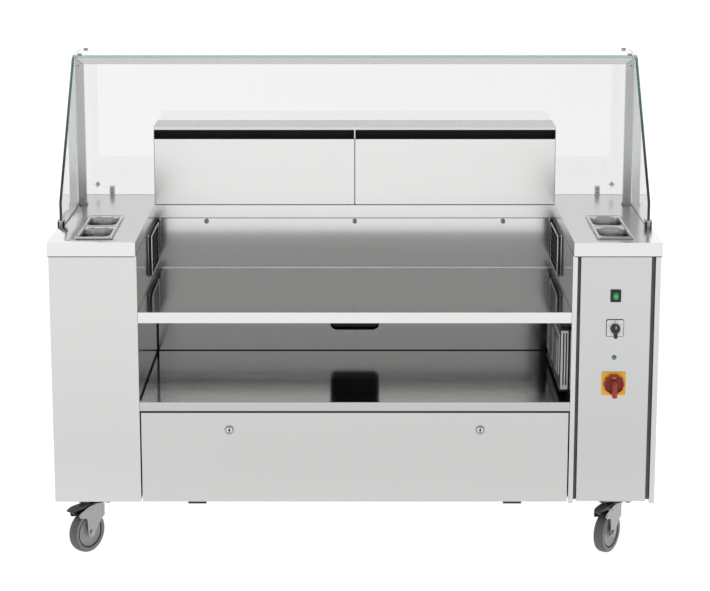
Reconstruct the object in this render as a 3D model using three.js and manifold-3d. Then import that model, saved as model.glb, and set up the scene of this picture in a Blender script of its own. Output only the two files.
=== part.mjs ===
// Mobile front-cooking trolley: two pedestals on swivel castors, a U-shaped worktop, an open bay with two
// shelves, a base compartment behind a tilting service panel, an extraction hood with two tilting covers on
// the rear bridge of the worktop, and a glass sneeze guard round three sides.
// Millimetres, +Z up, +X to the operator's right, the operator stands on the -Y side.
// Depths are given from the front edge of the worktop, positive to the rear; the whole is then moved by -CENTRE_Y.
import * as THREE from "three";
import { mergeVertices } from "three/addons/utils/BufferGeometryUtils.js";
import Module from "manifold-3d";

const wasm = await Module();
wasm.setup();

// ---- driving dimensions ----
const T = 2; // sheet thickness
const GAP = 0.375; // clearance between touching pieces
const FRONT_REACH = 40; // the main switch knob stands this far in front of the worktop edge
const REAR_REACH = 845; // rear edge of the top glass
const CENTRE_Y = (REAR_REACH - FRONT_REACH) / 2;
const TOP_X = 890, TOP_Y = 830, TOP_Z = 947, TOP_LIP = 40; // worktop half-width, depth, height, folded edge
const CUT_X = 634.5, BRIDGE_Y = 620; // U cut-out half-width, front edge of the rear bridge
const OUT_X = 887, IN_X = 632; // pedestal outer and inner faces
const FACE_Y = 3, BACK_Y = 827; // pedestal front and rear faces
const BASE_Z = 165; // lower edge of the panels
const FLOOR_Z = 166; // underside of the pedestal floors
const BAY_BACK_Y = 640; // front face of the bay's back wall
const SHELF_HI = 740, SHELF_HI_LIP = 32;
const SHELF_LO = 470, SHELF_LO_LIP = 27;
const PANEL_TOP = 437, PANEL_X = 628, PANEL_FOLD = 20, PANEL_Y = 5; // service panel
const PANEL_PIVOT = [PANEL_Y + PANEL_FOLD, BASE_Z]; // y, z of the tilt axis
const LUG_X = 468, LUG_W = 54;
const LOCK_X = 369, LOCK_Z = 385, LOCK_R = 14;
const HOOD_BACK = 785, HOOD_TOP = 1195;
const COVER_Y = 622, COVER_BOTTOM = 949, COVER_TOP = 1157, COVER_FOLD = 12;
const SLOT_TOP = 1186;
const POST_X = 847, POST = 25, POST_Y = 620, RAIL_Z = 1393, GLASS_TOP = 1413.5;
const PANE_X = 873, PANE_T = 8, PANE_FRONT = 230, PANE_KINK = 1025;
const REAR_GLASS_Y = 812;
const PAN_X = 761, PAN_W = 108, PAN_L = 176, PAN_DEPTH = 100, PAN_Y = [143.5, 323];
const CTRL_X = 758; // column of the controls
const ROCKER_Z = 789.5, FAN_SWITCH_Z = 693.5, LAMP_Z = 605, MAIN_SWITCH_Z = 526.5;
const CASTOR_X = 775, CASTOR_FRONT = 70, CASTOR_REAR = 740;
const WHEEL_R = 62.5, WHEEL_W = 32, TRAIL = 40, WHEEL_SIDES = 40;
const CASTOR_H = 160, CASTOR_PLATE = [105, 85, 3];
const COMPARTMENT_FAN = [220, 400, 300]; // centre of the extraction fan

// ---- colours ----
const metal = (color, roughness) => new THREE.MeshStandardMaterial({ color, roughness, metalness: 1 });
const plain = (color, roughness) => new THREE.MeshStandardMaterial({ color, roughness, metalness: 0 });
const brushed = metal(0xcfd1d3, 0.35), polished = metal(0xdcdee0, 0.15), galvanised = metal(0xb4b8bc, 0.5);
const aluminium = metal(0xd2d4d6, 0.4), zinc = metal(0xb8babd, 0.35);
const glass = new THREE.MeshStandardMaterial({ color: 0xdff0ea, roughness: 0.05, metalness: 0, transparent: true, opacity: 0.3 });
const black = plain(0x121314, 0.45), grey = plain(0x8f9498, 0.5), tyre = plain(0x4c4e50, 0.7), white = plain(0xe8e9e8, 0.5);
const red = plain(0xb52a1c, 0.35), yellow = plain(0xf2b51d, 0.45), green = plain(0x1f9e54, 0.3);

// ---- shape helpers ----
function solid(geometry) {
  const g = geometry.index ? geometry.toNonIndexed() : geometry.clone();
  const bare = new THREE.BufferGeometry().setAttribute("position", g.getAttribute("position"));
  const m = mergeVertices(bare, 1e-4);
  const tri = new Uint32Array(m.index.array);
  const make = (t) => new wasm.Manifold(new wasm.Mesh({ numProp: 3, vertProperties: m.attributes.position.array, triVerts: t }));
  const s = make(tri);
  if (s.volume() > 0) return s;
  for (let i = 0; i < tri.length; i += 3) [tri[i + 1], tri[i + 2]] = [tri[i + 2], tri[i + 1]];
  return make(tri);
}
function geometryOf(s) {
  const m = s.asOriginal().simplify(1e-3).getMesh(); // drops the seams that joins leave in flat faces
  const v = new Float32Array(m.triVerts.length * 3);
  m.triVerts.forEach((k, i) => v.set(m.vertProperties.subarray(k * m.numProp, k * m.numProp + 3), i * 3));
  const g = new THREE.BufferGeometry().setAttribute("position", new THREE.BufferAttribute(v, 3));
  g.computeVertexNormals();
  return g;
}
const join = (...s) => s.flat().reduce((a, b) => a.add(b));
const cut = (a, ...s) => s.flat().reduce((x, b) => x.subtract(b), a);
const box = (x0, x1, y0, y1, z0, z1) =>
  solid(new THREE.BoxGeometry(x1 - x0, y1 - y0, z1 - z0).translate((x0 + x1) / 2, (y0 + y1) / 2, (z0 + z1) / 2));
// cylinder from a to b along one axis, centred on the other two coordinates
function cylX(x0, x1, y, z, r, n = 20) {
  return solid(new THREE.CylinderGeometry(r, r, x1 - x0, n).rotateZ(Math.PI / 2).translate((x0 + x1) / 2, y, z));
}
function cylY(x, y0, y1, z, r, n = 24) {
  return solid(new THREE.CylinderGeometry(r, r, y1 - y0, n).translate(x, (y0 + y1) / 2, z));
}
function cylZ(x, y, z0, z1, r, n = 24) {
  return solid(new THREE.CylinderGeometry(r, r, z1 - z0, n).rotateX(Math.PI / 2).translate(x, y, (z0 + z1) / 2));
}
const outline = (points) => new THREE.Shape(points.map(([a, b]) => new THREE.Vector2(a, b)));
function rounded(w, h, r, n = 4) {
  const s = new THREE.Shape();
  s.moveTo(-w / 2 + r, -h / 2).lineTo(w / 2 - r, -h / 2).absarc(w / 2 - r, -h / 2 + r, r, -Math.PI / 2, 0)
    .lineTo(w / 2, h / 2 - r).absarc(w / 2 - r, h / 2 - r, r, 0, Math.PI / 2)
    .lineTo(-w / 2 + r, h / 2).absarc(-w / 2 + r, h / 2 - r, r, Math.PI / 2, Math.PI)
    .lineTo(-w / 2, -h / 2 + r).absarc(-w / 2 + r, -h / 2 + r, r, Math.PI, 1.5 * Math.PI);
  return s;
}
const extrusion = (shape, depth, n) => new THREE.ExtrudeGeometry(shape, { depth, bevelEnabled: false, curveSegments: n || 4 });
// shape given in (y, z), thick along X
const alongX = (shape, x0, x1, n) =>
  solid(extrusion(shape, x1 - x0, n).applyMatrix4(new THREE.Matrix4().makeBasis(
    new THREE.Vector3(0, 1, 0), new THREE.Vector3(0, 0, 1), new THREE.Vector3(1, 0, 0))).translate(x0, 0, 0));
// shape given in (x, z), thick along Y
const alongY = (shape, y0, y1, n) =>
  solid(extrusion(shape, y1 - y0, n).applyMatrix4(new THREE.Matrix4().makeBasis(
    new THREE.Vector3(1, 0, 0), new THREE.Vector3(0, 0, 1), new THREE.Vector3(0, -1, 0))).translate(0, y1, 0));
// shape given in (x, y), thick along Z
const alongZ = (shape, z0, z1, n) => solid(extrusion(shape, z1 - z0, n).translate(0, 0, z0));
const shift = (s, x, y, z) => s.translate([x, y, z]);
const mirrored = (s) => s.mirror([1, 0, 0]);
const sides = (s) => [mirrored(s), s]; // left copy, right copy

const trolley = new THREE.Group();
const chassis = new THREE.Group();
chassis.position.y = -CENTRE_Y;
trolley.add(chassis);
function add(name, s, material, parent = chassis) {
  const mesh = new THREE.Mesh(geometryOf(s), material);
  mesh.name = name;
  parent.add(mesh);
  return mesh;
}

// ---- base ----
add("floor_pan", cut(join(
  box(-631.5, 631.5, 62, 822, FLOOR_Z, FLOOR_Z + T),
  box(-631.5, -629.5, 62, 822, FLOOR_Z, FLOOR_Z + 24), box(629.5, 631.5, 62, 822, FLOOR_Z, FLOOR_Z + 24)),
  cylZ(COMPARTMENT_FAN[0], COMPARTMENT_FAN[1], 150, 180, 80, 32),
  [-520, -440, -360, -280].map((x) => box(x, x + 20, 260, 420, 150, 180))), galvanised);
{
  const pivot = cylX(-LUG_X - LUG_W, LUG_X + LUG_W, PANEL_PIVOT[0], PANEL_PIVOT[1], 3.625, 20);
  const lug = (x) => box(x - LUG_W / 2, x + LUG_W / 2, PANEL_PIVOT[0] + 0.625, 60, 152, FLOOR_Z + 6);
  add("front_base_beam", cut(join(
    box(-630, 630, 30, 32, FLOOR_Z, FLOOR_Z + 40), box(-630, 630, 30, 60, FLOOR_Z, FLOOR_Z + T + 1),
    box(-630, 630, 58, 60, FLOOR_Z, FLOOR_Z + 40), lug(-LUG_X), lug(LUG_X)), pivot), galvanised);
}
add("rear_base_beam", join(box(-629, 629, 779, 781, FLOOR_Z + T + GAP, FLOOR_Z + 46), box(-629, 629, 779, 821, FLOOR_Z + T + GAP, FLOOR_Z + 5.25)), galvanised);

// ---- pedestals ----
const pads = (sign) => [CASTOR_FRONT, CASTOR_REAR].map((y) => {
  const x = sign * CASTOR_X;
  return box(x - 52.5, x + 52.5, y - 42.5, y + 42.5, CASTOR_H + GAP, FLOOR_Z + 0.5);
});
add("left_cabinet_shell", join(
  box(-OUT_X, -IN_X, FACE_Y, FACE_Y + T, BASE_Z, 906.5), // front
  box(-OUT_X, -CUT_X - T - 0.5, FACE_Y, FACE_Y + T, 906, 944.5),
  box(-OUT_X, -OUT_X + T, FACE_Y, BACK_Y, BASE_Z, 944.5), // outer side
  box(-OUT_X, -IN_X, BACK_Y - T, BACK_Y, BASE_Z, 944.5), // rear
  box(-OUT_X, -634.5, FACE_Y, BACK_Y, FLOOR_Z, FLOOR_Z + 3), // floor
  pads(-1)), brushed);
add("right_cabinet_shell", cut(join(
  box(872, OUT_X, FACE_Y, FACE_Y + T, CASTOR_H + GAP, 944.5), // narrow front strip
  box(872, 872 + T, FACE_Y, 30, CASTOR_H + GAP, 944.5),
  box(646.5, 885, 28, 30, FLOOR_Z, 944.5), // set-back front wall behind the control panel
  box(OUT_X - T, OUT_X, FACE_Y, BACK_Y, CASTOR_H + GAP, 944.5),
  box(IN_X, OUT_X, BACK_Y - T, BACK_Y, BASE_Z, 944.5),
  box(634.5, OUT_X, 28, BACK_Y, FLOOR_Z, FLOOR_Z + 3),
  pads(1)),
  box(700, 816, 20, 40, 495, 655), box(700, 816, 20, 40, 668, 828), // wiring windows
  cylY(CTRL_X, 800, 850, 330, 12, 20)), brushed); // cable entry
{
  // inner wall of a pedestal, with a framed rectangular opening near the top rear
  const wall = (x0, y0) => cut(join(box(x0, x0 + T, y0, 824.5, BASE_Z, 906.5),
    box(x0 - 1.5, x0 + 9, 378, 620, 765, 898)), box(x0 - 5, x0 + 12, 390, 608, 777, 886));
  add("left_inner_panel", mirrored(wall(IN_X, 5.5)), brushed);
  add("right_inner_panel", join(wall(IN_X, FACE_Y),
    box(IN_X, 646, FACE_Y, FACE_Y + T, CASTOR_H + GAP, 906.5), box(644, 646, FACE_Y, 27.5, CASTOR_H + GAP, 906.5)), brushed);
}
add("control_panel", cut(join(
  box(656, 860, PANEL_Y, PANEL_Y + T, 166.5, 905), box(656, 658, PANEL_Y, 27.5, 166.5, 905), box(858, 860, PANEL_Y, 27.5, 166.5, 905)),
  box(CTRL_X - 11, CTRL_X + 11, 0, 12, ROCKER_Z - 14, ROCKER_Z + 14),
  cylY(CTRL_X, 0, 12, FAN_SWITCH_Z, 5, 20), cylY(CTRL_X, 0, 12, LAMP_Z, 5, 20), cylY(CTRL_X, 0, 12, MAIN_SWITCH_Z, 7, 20)), brushed);

// ---- worktop ----
{
  const plate = outline([[-TOP_X, 0], [-CUT_X, 0], [-CUT_X, BRIDGE_Y], [CUT_X, BRIDGE_Y], [CUT_X, 0], [TOP_X, 0], [TOP_X, TOP_Y], [-TOP_X, TOP_Y]]);
  const inner = outline([[-TOP_X + T, T], [-CUT_X - T, T], [-CUT_X - T, BRIDGE_Y + T], [CUT_X + T, BRIDGE_Y + T], [CUT_X + T, T], [TOP_X - T, T], [TOP_X - T, TOP_Y - T], [-TOP_X + T, TOP_Y - T]]);
  const holes = [-1, 1].flatMap((s) => PAN_Y.map((y) =>
    shift(alongZ(rounded(PAN_W - 8, PAN_L - 8, 5), 900, 960), s * PAN_X, y, 0)));
  const ducts = [-420, -140, 140, 420].map((x) => box(x - 80, x + 80, 710, 772, 900, 960));
  add("worktop", cut(alongZ(plate, TOP_Z - TOP_LIP, TOP_Z), alongZ(inner, TOP_Z - TOP_LIP - 5, TOP_Z - T), holes, ducts), brushed);
}

// ---- shelves, back wall, rear wall ----
const shelf = (top, lip) => cut(box(-631.5, 631.5, FACE_Y, 639.5, top - lip, top), // folded tray, open below
  box(-629.5, 629.5, FACE_Y + T, 637.5, top - lip + T, top - T), box(-629.5, 629.5, 14, 637.5, top - lip - 5, top - lip + T + 1));
add("upper_shelf", shelf(SHELF_HI, SHELF_HI_LIP), brushed);
add("lower_shelf", shelf(SHELF_LO, SHELF_LO_LIP), brushed);
add("bay_back_panel", cut(join(
  box(-631.5, 631.5, BAY_BACK_Y, BAY_BACK_Y + T, FLOOR_Z + 24.5, 906.5),
  box(-629, 629, BAY_BACK_Y, BAY_BACK_Y + T, FLOOR_Z + T + GAP, FLOOR_Z + 30),
  [-470, 0, 470].map((x) => cylY(x, BAY_BACK_Y - 3, BAY_BACK_Y + T, 892, 5, 12))),
  shift(alongY(rounded(157, 165, 22), 600, 660), 0, 0, 620)), brushed);
add("rear_panel", join(box(-631.5, 631.5, BACK_Y - T, BACK_Y, BASE_Z, 906.5), box(-631.5, 631.5, BACK_Y - 16, BACK_Y, 904.5, 906.5)), brushed);

// ---- service panel with its two quarter-turn locks ----
{
  const [py, pz] = PANEL_PIVOT;
  const fold = PANEL_Y + PANEL_FOLD;
  add("service_panel", cut(join(
    box(-PANEL_X, PANEL_X, PANEL_Y, PANEL_Y + T, BASE_Z, PANEL_TOP),
    box(-PANEL_X, -PANEL_X + T, PANEL_Y, fold, BASE_Z, PANEL_TOP), box(PANEL_X - T, PANEL_X, PANEL_Y, fold, BASE_Z, PANEL_TOP),
    box(-PANEL_X, PANEL_X, PANEL_Y, fold, PANEL_TOP - T, PANEL_TOP), box(-PANEL_X, PANEL_X, PANEL_Y, fold, BASE_Z, BASE_Z + T),
    cylX(-LUG_X - 38, -LUG_X + 38, py, pz, 3, 20), cylX(LUG_X - 38, LUG_X + 38, py, pz, 3, 20)),
    [-1, 1].map((s) => cylY(s * LOCK_X, 0, 12, LOCK_Z, 6.5, 20))), brushed);
  for (const [s, side] of [[-1, "left"], [1, "right"]]) {
    const x = s * LOCK_X;
    add("panel_lock_" + side, cut(join(
      cylY(x, 1.25, PANEL_Y - GAP, LOCK_Z, LOCK_R, 28), cylY(x, 1.25, 17, LOCK_Z, 6, 20),
      box(x - 7, x + 7, 13, 16, LOCK_Z - 7, LOCK_Z + 36)),
      box(x - 2.5, x + 2.5, 0, 3.5, LOCK_Z - 8, LOCK_Z + 8)), zinc);
  }
}

// ---- extraction: hood, covers, filters, fan ----
add("hood_housing", cut(join(
  box(-IN_X, IN_X, COVER_Y, HOOD_BACK, HOOD_TOP - T, HOOD_TOP), // top
  box(-IN_X, IN_X, COVER_Y, COVER_Y + T, SLOT_TOP, HOOD_TOP), // top lip
  box(-IN_X, IN_X, HOOD_BACK - T, HOOD_BACK, TOP_Z + GAP, HOOD_TOP), // rear
  box(-IN_X, -IN_X + T, COVER_Y, HOOD_BACK, TOP_Z + GAP, HOOD_TOP), box(IN_X - T, IN_X, COVER_Y, HOOD_BACK, TOP_Z + GAP, HOOD_TOP),
  box(-1, 1, COVER_Y + COVER_FOLD + 2, HOOD_BACK, TOP_Z + GAP, HOOD_TOP), // divider
  box(-2, 2, COVER_Y, COVER_Y + COVER_FOLD + 4, COVER_TOP + 1.5, HOOD_TOP), // divider nose between the slots
  box(-IN_X, IN_X, 690, HOOD_BACK, TOP_Z + GAP, TOP_Z + GAP + T)), // bottom flange
  [-420, -140, 140, 420].map((x) => box(x - 80, x + 80, 710, 772, 940, 960))), brushed);
const cover = (x0, x1) => cut(box(x0, x1, COVER_Y, COVER_Y + COVER_FOLD, COVER_BOTTOM, COVER_TOP),
  box(x0 + T, x1 - T, COVER_Y + T, COVER_Y + COVER_FOLD + 9, COVER_BOTTOM - 9, COVER_TOP - T));
add("hood_cover_left", cover(-629.5, -1.5), brushed);
add("hood_cover_right", cover(1.5, 629.5), brushed);
const filter = (x0, x1) => join(
  cut(box(x0, x1, 655, 675, 952, 1148), box(x0 + 12, x1 - 12, 640, 690, 964, 1136)),
  Array.from({ length: 5 }, (_, i) => x0 + (i + 1) * (x1 - x0) / 6).map((x) => box(x - 40, x + 40, 661, 664, 957, 1143)),
  Array.from({ length: 6 }, (_, i) => x0 + (i + 0.5) * (x1 - x0) / 6).map((x) => box(x - 26, x + 26, 667, 670, 957, 1143)));
add("grease_filter_left", filter(-610, -20), aluminium);
add("grease_filter_right", filter(20, 610), aluminium);
{
  const [fx, fy, fz] = COMPARTMENT_FAN;
  // round casing on a square foot plate, air in at the top, out through the floor
  add("fan_housing", join(
    cut(cylZ(fx, fy, 168.5, 360, 152, 40), cylZ(fx, fy, 171, 357.5, 149.5, 40), cylZ(fx, fy, 340, 380, 80, 32), cylZ(fx, fy, 150, 180, 76, 32)),
    cut(box(fx - 165, fx + 165, fy - 165, fy + 165, 168.5, 171), cylZ(fx, fy, 150, 180, 100, 32)),
    [0, 90, 180, 270].map((a) => box(70, 151, -4, 4, 169, 180).rotate([0, 0, a]).translate([fx, fy, 0])),
    cut(cylZ(fx, fy, 169, 228, 40, 24), cylZ(fx, fy, 160, 175, 30, 24)),
    [45, 135, 225, 315].map((a) => box(30, 90, -3, 3, 169, 176).rotate([0, 0, a]).translate([fx, fy, 0]))), galvanised);
  add("fan_impeller", join(cylZ(fx, fy, 230, 233, 120, 40), cylZ(fx, fy, 230, 300, 20, 24),
    Array.from({ length: 12 }, (_, i) => box(88, 118, -1, 1, 232, 330).rotate([0, 0, i * 30]).translate([fx, fy, 0])),
    cut(cylZ(fx, fy, 327, 330, 120, 40), cylZ(fx, fy, 320, 332, 86, 40))), aluminium);
}
add("carbon_filter", cut(box(-600, -120, 160, 560, 175, 255), // cassette of open carbon cells
  Array.from({ length: 30 }, (_, i) => {
    const x = -597 + (i % 6) * 79.5, y = 163 + Math.floor(i / 6) * 79.25;
    return box(x, x + 76.5, y, y + 76.75, 170, 260);
  })), galvanised);

// ---- sneeze guard ----
{
  // posts and rail meet in mitres at the two front upper corners
  const x1 = POST_X + POST, z1 = GLASS_TOP - GAP, y0 = POST_Y, y1 = POST_Y + POST;
  const post = alongY(outline([[POST_X, TOP_Z + GAP], [x1, TOP_Z + GAP], [x1, z1], [POST_X, z1 - 21]]), y0, y1);
  const [lp, rp] = sides(post);
  add("left_post", lp, aluminium);
  add("right_post", rp, aluminium);
  const g = 0.375;
  add("top_rail", alongY(outline([[-x1 + g, z1], [-POST_X + g, RAIL_Z], [POST_X - g, RAIL_Z], [x1 - g, z1]]), y0, y1), aluminium);
  const pane = alongX(outline([[PANE_FRONT, TOP_Z + GAP], [REAR_GLASS_Y - GAP, TOP_Z + GAP], [REAR_GLASS_Y - GAP, z1], [POST_Y - 2, z1],
    [PANE_FRONT, PANE_KINK]]), PANE_X, PANE_X + PANE_T);
  const [lg, rg] = sides(pane);
  add("left_side_glass", lg, glass);
  add("right_side_glass", rg, glass);
  add("rear_glass", box(-880, 880, REAR_GLASS_Y, REAR_GLASS_Y + PANE_T, TOP_Z + GAP, z1), glass);
  add("top_glass", box(-880, 880, 617, REAR_REACH, GLASS_TOP, GLASS_TOP + 6.5), glass);
  const clamp = cut(box(PANE_X - 7, PANE_X + PANE_T + 6, PANE_FRONT - 6, PANE_FRONT + 22, TOP_Z + GAP, TOP_Z + 25),
    box(PANE_X - 0.375, PANE_X + PANE_T + 0.375, PANE_FRONT - 0.375, PANE_FRONT + 40, TOP_Z - 5, TOP_Z + 40));
  const [lc, rc] = sides(clamp);
  add("left_glass_clamp", lc, aluminium);
  add("right_glass_clamp", rc, aluminium);
}

// ---- pans ----
function pan() {
  const taper = (w0, l0, w1, l1, z0, z1) => { // frustum, lower size w0 x l0, upper w1 x l1
    const g = new THREE.BoxGeometry(1, 1, 1), p = g.getAttribute("position");
    for (let i = 0; i < p.count; i++) {
      const up = p.getZ(i) > 0;
      p.setXYZ(i, p.getX(i) * (up ? w1 : w0), p.getY(i) * (up ? l1 : l0), up ? z1 : z0);
    }
    return solid(g);
  };
  const rim = alongZ(rounded(PAN_W, PAN_L, 14), TOP_Z + GAP, TOP_Z + 6);
  const body = taper(80, 148, PAN_W - 12, PAN_L - 12, TOP_Z - PAN_DEPTH, TOP_Z + 1);
  const hollow = taper(76, 144, PAN_W - 16, PAN_L - 16, TOP_Z - PAN_DEPTH + T, TOP_Z + 6.5);
  return cut(join(rim, body), hollow);
}
[["left", -1], ["right", 1]].forEach(([side, s]) => PAN_Y.forEach((y, i) =>
  add(`pan_${side}_${i ? "rear" : "front"}`, pan().translate([s * PAN_X, y, 0]), polished)));

// ---- controls ----
{
  const y = PANEL_Y - GAP; // back faces of the pieces lie on the panel
  add("rocker_frame", cut(join(box(CTRL_X - 15.5, CTRL_X + 15.5, y - 5, y, ROCKER_Z - 18.5, ROCKER_Z + 18.5),
    box(CTRL_X - 10.5, CTRL_X + 10.5, y - 1, 17, ROCKER_Z - 13.5, ROCKER_Z + 13.5)),
    box(CTRL_X - 8.5, CTRL_X + 8.5, y - 8, 14, ROCKER_Z - 12.5, ROCKER_Z + 12.5)), black);
  add("rocker_switch", alongX(outline([[y - 7.5, ROCKER_Z + 11.5], [y - 5.25, ROCKER_Z - 11.5], [9.5, ROCKER_Z - 8], [9.5, ROCKER_Z + 8]]), CTRL_X - 8, CTRL_X + 8), green);
  add("fan_switch_plate", cut(join(shift(alongY(rounded(51.5, 51.5, 6), y - 4, y), CTRL_X, 0, FAN_SWITCH_Z),
    cylY(CTRL_X, y - 1, 40, FAN_SWITCH_Z, 4.625, 20)), cylY(CTRL_X, -20, 30, FAN_SWITCH_Z, 3.375, 20)), white);
  add("fan_switch_knob", join(cylY(CTRL_X, y - 24, y - 4 - GAP, FAN_SWITCH_Z, 14.5, 28), cylY(CTRL_X, y - 5, 26, FAN_SWITCH_Z, 3, 20),
    box(CTRL_X - 6, CTRL_X + 6, y - 30, y - 8, FAN_SWITCH_Z - 27, FAN_SWITCH_Z + 14)), black);
  add("pilot_lamp", join(cylY(CTRL_X, y - 6, y, LAMP_Z, 7, 24), cylY(CTRL_X, y - 1, 22, LAMP_Z, 4.625, 20)), green);
  add("main_switch_plate", cut(join(shift(alongY(rounded(70, 70, 5), y - 5, y), CTRL_X, 0, MAIN_SWITCH_Z),
    cylY(CTRL_X, y - 1, 60, MAIN_SWITCH_Z, 6.625, 20)), cylY(CTRL_X, -20, 50, MAIN_SWITCH_Z, 4.375, 20)), yellow);
  add("main_switch_knob", join(cylY(CTRL_X, y - 22, y - 5 - GAP, MAIN_SWITCH_Z, 31, 36), cylY(CTRL_X, y - 6, 44, MAIN_SWITCH_Z, 4, 20),
    box(CTRL_X - 8, CTRL_X + 8, -FRONT_REACH, y - 12, MAIN_SWITCH_Z - 36, MAIN_SWITCH_Z + 29)), red);
}
add("socket_strip", join(box(606, 631.5, 60, 490, 485, 681), box(599, 620, 80, 200, 527, 659), box(599, 620, 215, 335, 527, 659), box(599, 620, 350, 470, 527, 659)), grey);
add("cable_gland", join(cylY(CTRL_X, BACK_Y + GAP, BACK_Y + 6, 330, 17, 6), cylY(CTRL_X, BACK_Y + 5, BACK_Y + 17, 330, 12, 20), cylY(CTRL_X, 815, BACK_Y + 2, 330, 11.625, 20)), black);

// ---- castors ----
// In a castor's own frame +X is the way the wheel trails and Z is the swivel axis.
function castor(side, end, x, y, trail, braked) {
  const name = `${end}_${side}`;
  const [pw, pd, pt] = CASTOR_PLATE;
  add(`castor_plate_${name}`, join(box(x - pw / 2, x + pw / 2, y - pd / 2, y + pd / 2, CASTOR_H - pt, CASTOR_H), cylZ(x, y, 149, 158, 26, 28)), zinc);
  const arm = new THREE.Group();
  arm.position.set(x, y, 0);
  arm.rotation.z = trail * Math.PI / 180;
  chassis.add(arm);
  const leg = [[-27, 146], [27, 146], [38, 138], [54, 72], [51, 54], [40, 48.5], [29, 54], [25, 66], [-4, 112], [-27, 132]];
  const cheek = alongY(outline(leg), 18.5, 21.5);
  add(`castor_fork_${name}`, join(cylZ(0, 0, 139, 148.625, 27, 28), box(-24, 27, -21.5, 21.5, 139, 144), cheek, cheek.mirror([0, 1, 0]),
    cylY(TRAIL, -25, 25, WHEEL_R, 5, 16), cylY(TRAIL, 21, 26, WHEEL_R, 9, 6), cylY(TRAIL, -26, -21, WHEEL_R, 9, 6)), zinc, arm);
  const r = WHEEL_R / Math.cos(Math.PI / WHEEL_SIDES), h = WHEEL_W / 2;
  const profile = [[6, -h], [r - 7, -h], [r - 2, -h + 3], [r, -h + 9], [r, h - 9], [r - 2, h - 3], [r - 7, h], [6, h], [6, -h]];
  add(`castor_wheel_${name}`, solid(new THREE.LatheGeometry(profile.map(([a, b]) => new THREE.Vector2(a, b)), WHEEL_SIDES)
    .rotateY(Math.PI / WHEEL_SIDES).translate(TRAIL, 0, WHEEL_R)), tyre, arm);
  if (braked) {
    const lever = [[44, 147], [104, 150], [117, 145], [116, 140], [100, 143], [60, 138], [44, 139.5]];
    add(`brake_pedal_${name}`, join(alongY(outline(lever), -16, 16), alongY(outline([[30, 149.5], [46, 149.5], [46, 145], [30, 149]]), -16, 16)), black, arm);
  }
}
castor("left", "front", -CASTOR_X, CASTOR_FRONT, 180 + 51, true);
castor("right", "front", CASTOR_X, CASTOR_FRONT, 180 + 57, true);
castor("left", "rear", -CASTOR_X, CASTOR_REAR, 180 - 40, false);
castor("right", "rear", CASTOR_X, CASTOR_REAR, 180 - 55, false);

export default trolley;
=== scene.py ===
# Mobile front-cooking trolley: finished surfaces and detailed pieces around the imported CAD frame. Metres, +Z up.
import bpy, bmesh, math
from mathutils import Matrix, Vector


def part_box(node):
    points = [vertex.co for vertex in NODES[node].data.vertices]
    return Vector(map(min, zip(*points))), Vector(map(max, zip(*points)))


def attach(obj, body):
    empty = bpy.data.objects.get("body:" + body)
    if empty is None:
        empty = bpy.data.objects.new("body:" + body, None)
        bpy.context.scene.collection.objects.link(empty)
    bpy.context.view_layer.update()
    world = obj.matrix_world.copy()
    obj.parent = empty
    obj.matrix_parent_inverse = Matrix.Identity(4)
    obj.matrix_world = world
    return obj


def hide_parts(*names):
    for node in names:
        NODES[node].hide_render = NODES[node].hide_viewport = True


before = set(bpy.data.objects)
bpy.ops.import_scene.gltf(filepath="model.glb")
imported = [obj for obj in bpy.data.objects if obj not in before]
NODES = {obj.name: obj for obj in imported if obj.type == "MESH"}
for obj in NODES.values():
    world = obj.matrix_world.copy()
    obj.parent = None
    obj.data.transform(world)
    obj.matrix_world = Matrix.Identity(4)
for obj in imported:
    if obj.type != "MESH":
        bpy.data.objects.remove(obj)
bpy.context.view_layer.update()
SC = bpy.context.scene
CY = -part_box("worktop")[0].y * 1000.0  # depths below are millimetres from the worktop's front edge


def lo(n):
    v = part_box(n)[0] * 1000.0
    return Vector((v.x, v.y + CY, v.z))


def hi(n):
    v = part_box(n)[1] * 1000.0
    return Vector((v.x, v.y + CY, v.z))


def mid(n):
    return (lo(n) + hi(n)) / 2


# ------------------------------------------------------------------ camera
cam = bpy.data.objects.new("camera", bpy.data.cameras.new("camera"))
SC.collection.objects.link(cam)
SC.camera = cam
cam.location = (0.0008, -6.7025, 2.18)
cam.rotation_euler = (math.radians(90 - 12.43), 0, 0)
cam.data.sensor_width = 36
cam.data.lens = 112.74
cam.data.clip_end = 200


# ------------------------------------------------------------------ materials
def new_mat(name):
    m = bpy.data.materials.new(name)
    m.use_nodes = True
    return m, m.node_tree, m.node_tree.nodes["Principled BSDF"]


def coords(nt, scale, offset=(0, 0, 0)):
    tc = nt.nodes.new("ShaderNodeTexCoord")
    mp = nt.nodes.new("ShaderNodeMapping")
    mp.inputs["Scale"].default_value = scale
    mp.inputs["Location"].default_value = offset
    nt.links.new(tc.outputs["Object"], mp.inputs["Vector"])
    return mp.outputs["Vector"]


def noise(nt, scale, detail=2.0, offset=(0, 0, 0), distortion=0.0, rough=0.5):
    n = nt.nodes.new("ShaderNodeTexNoise")
    n.inputs["Scale"].default_value = 1.0
    n.inputs["Detail"].default_value = detail
    n.inputs["Roughness"].default_value = rough
    n.inputs["Distortion"].default_value = distortion
    nt.links.new(coords(nt, scale, offset), n.inputs["Vector"])
    return n.outputs["Fac"]


def remap(nt, src, a, b, lo_=0.3, hi_=0.7):
    r = nt.nodes.new("ShaderNodeMapRange")
    r.inputs["From Min"].default_value = lo_
    r.inputs["From Max"].default_value = hi_
    r.inputs["To Min"].default_value = a
    r.inputs["To Max"].default_value = b
    nt.links.new(src, r.inputs["Value"])
    return r.outputs["Result"]


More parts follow.
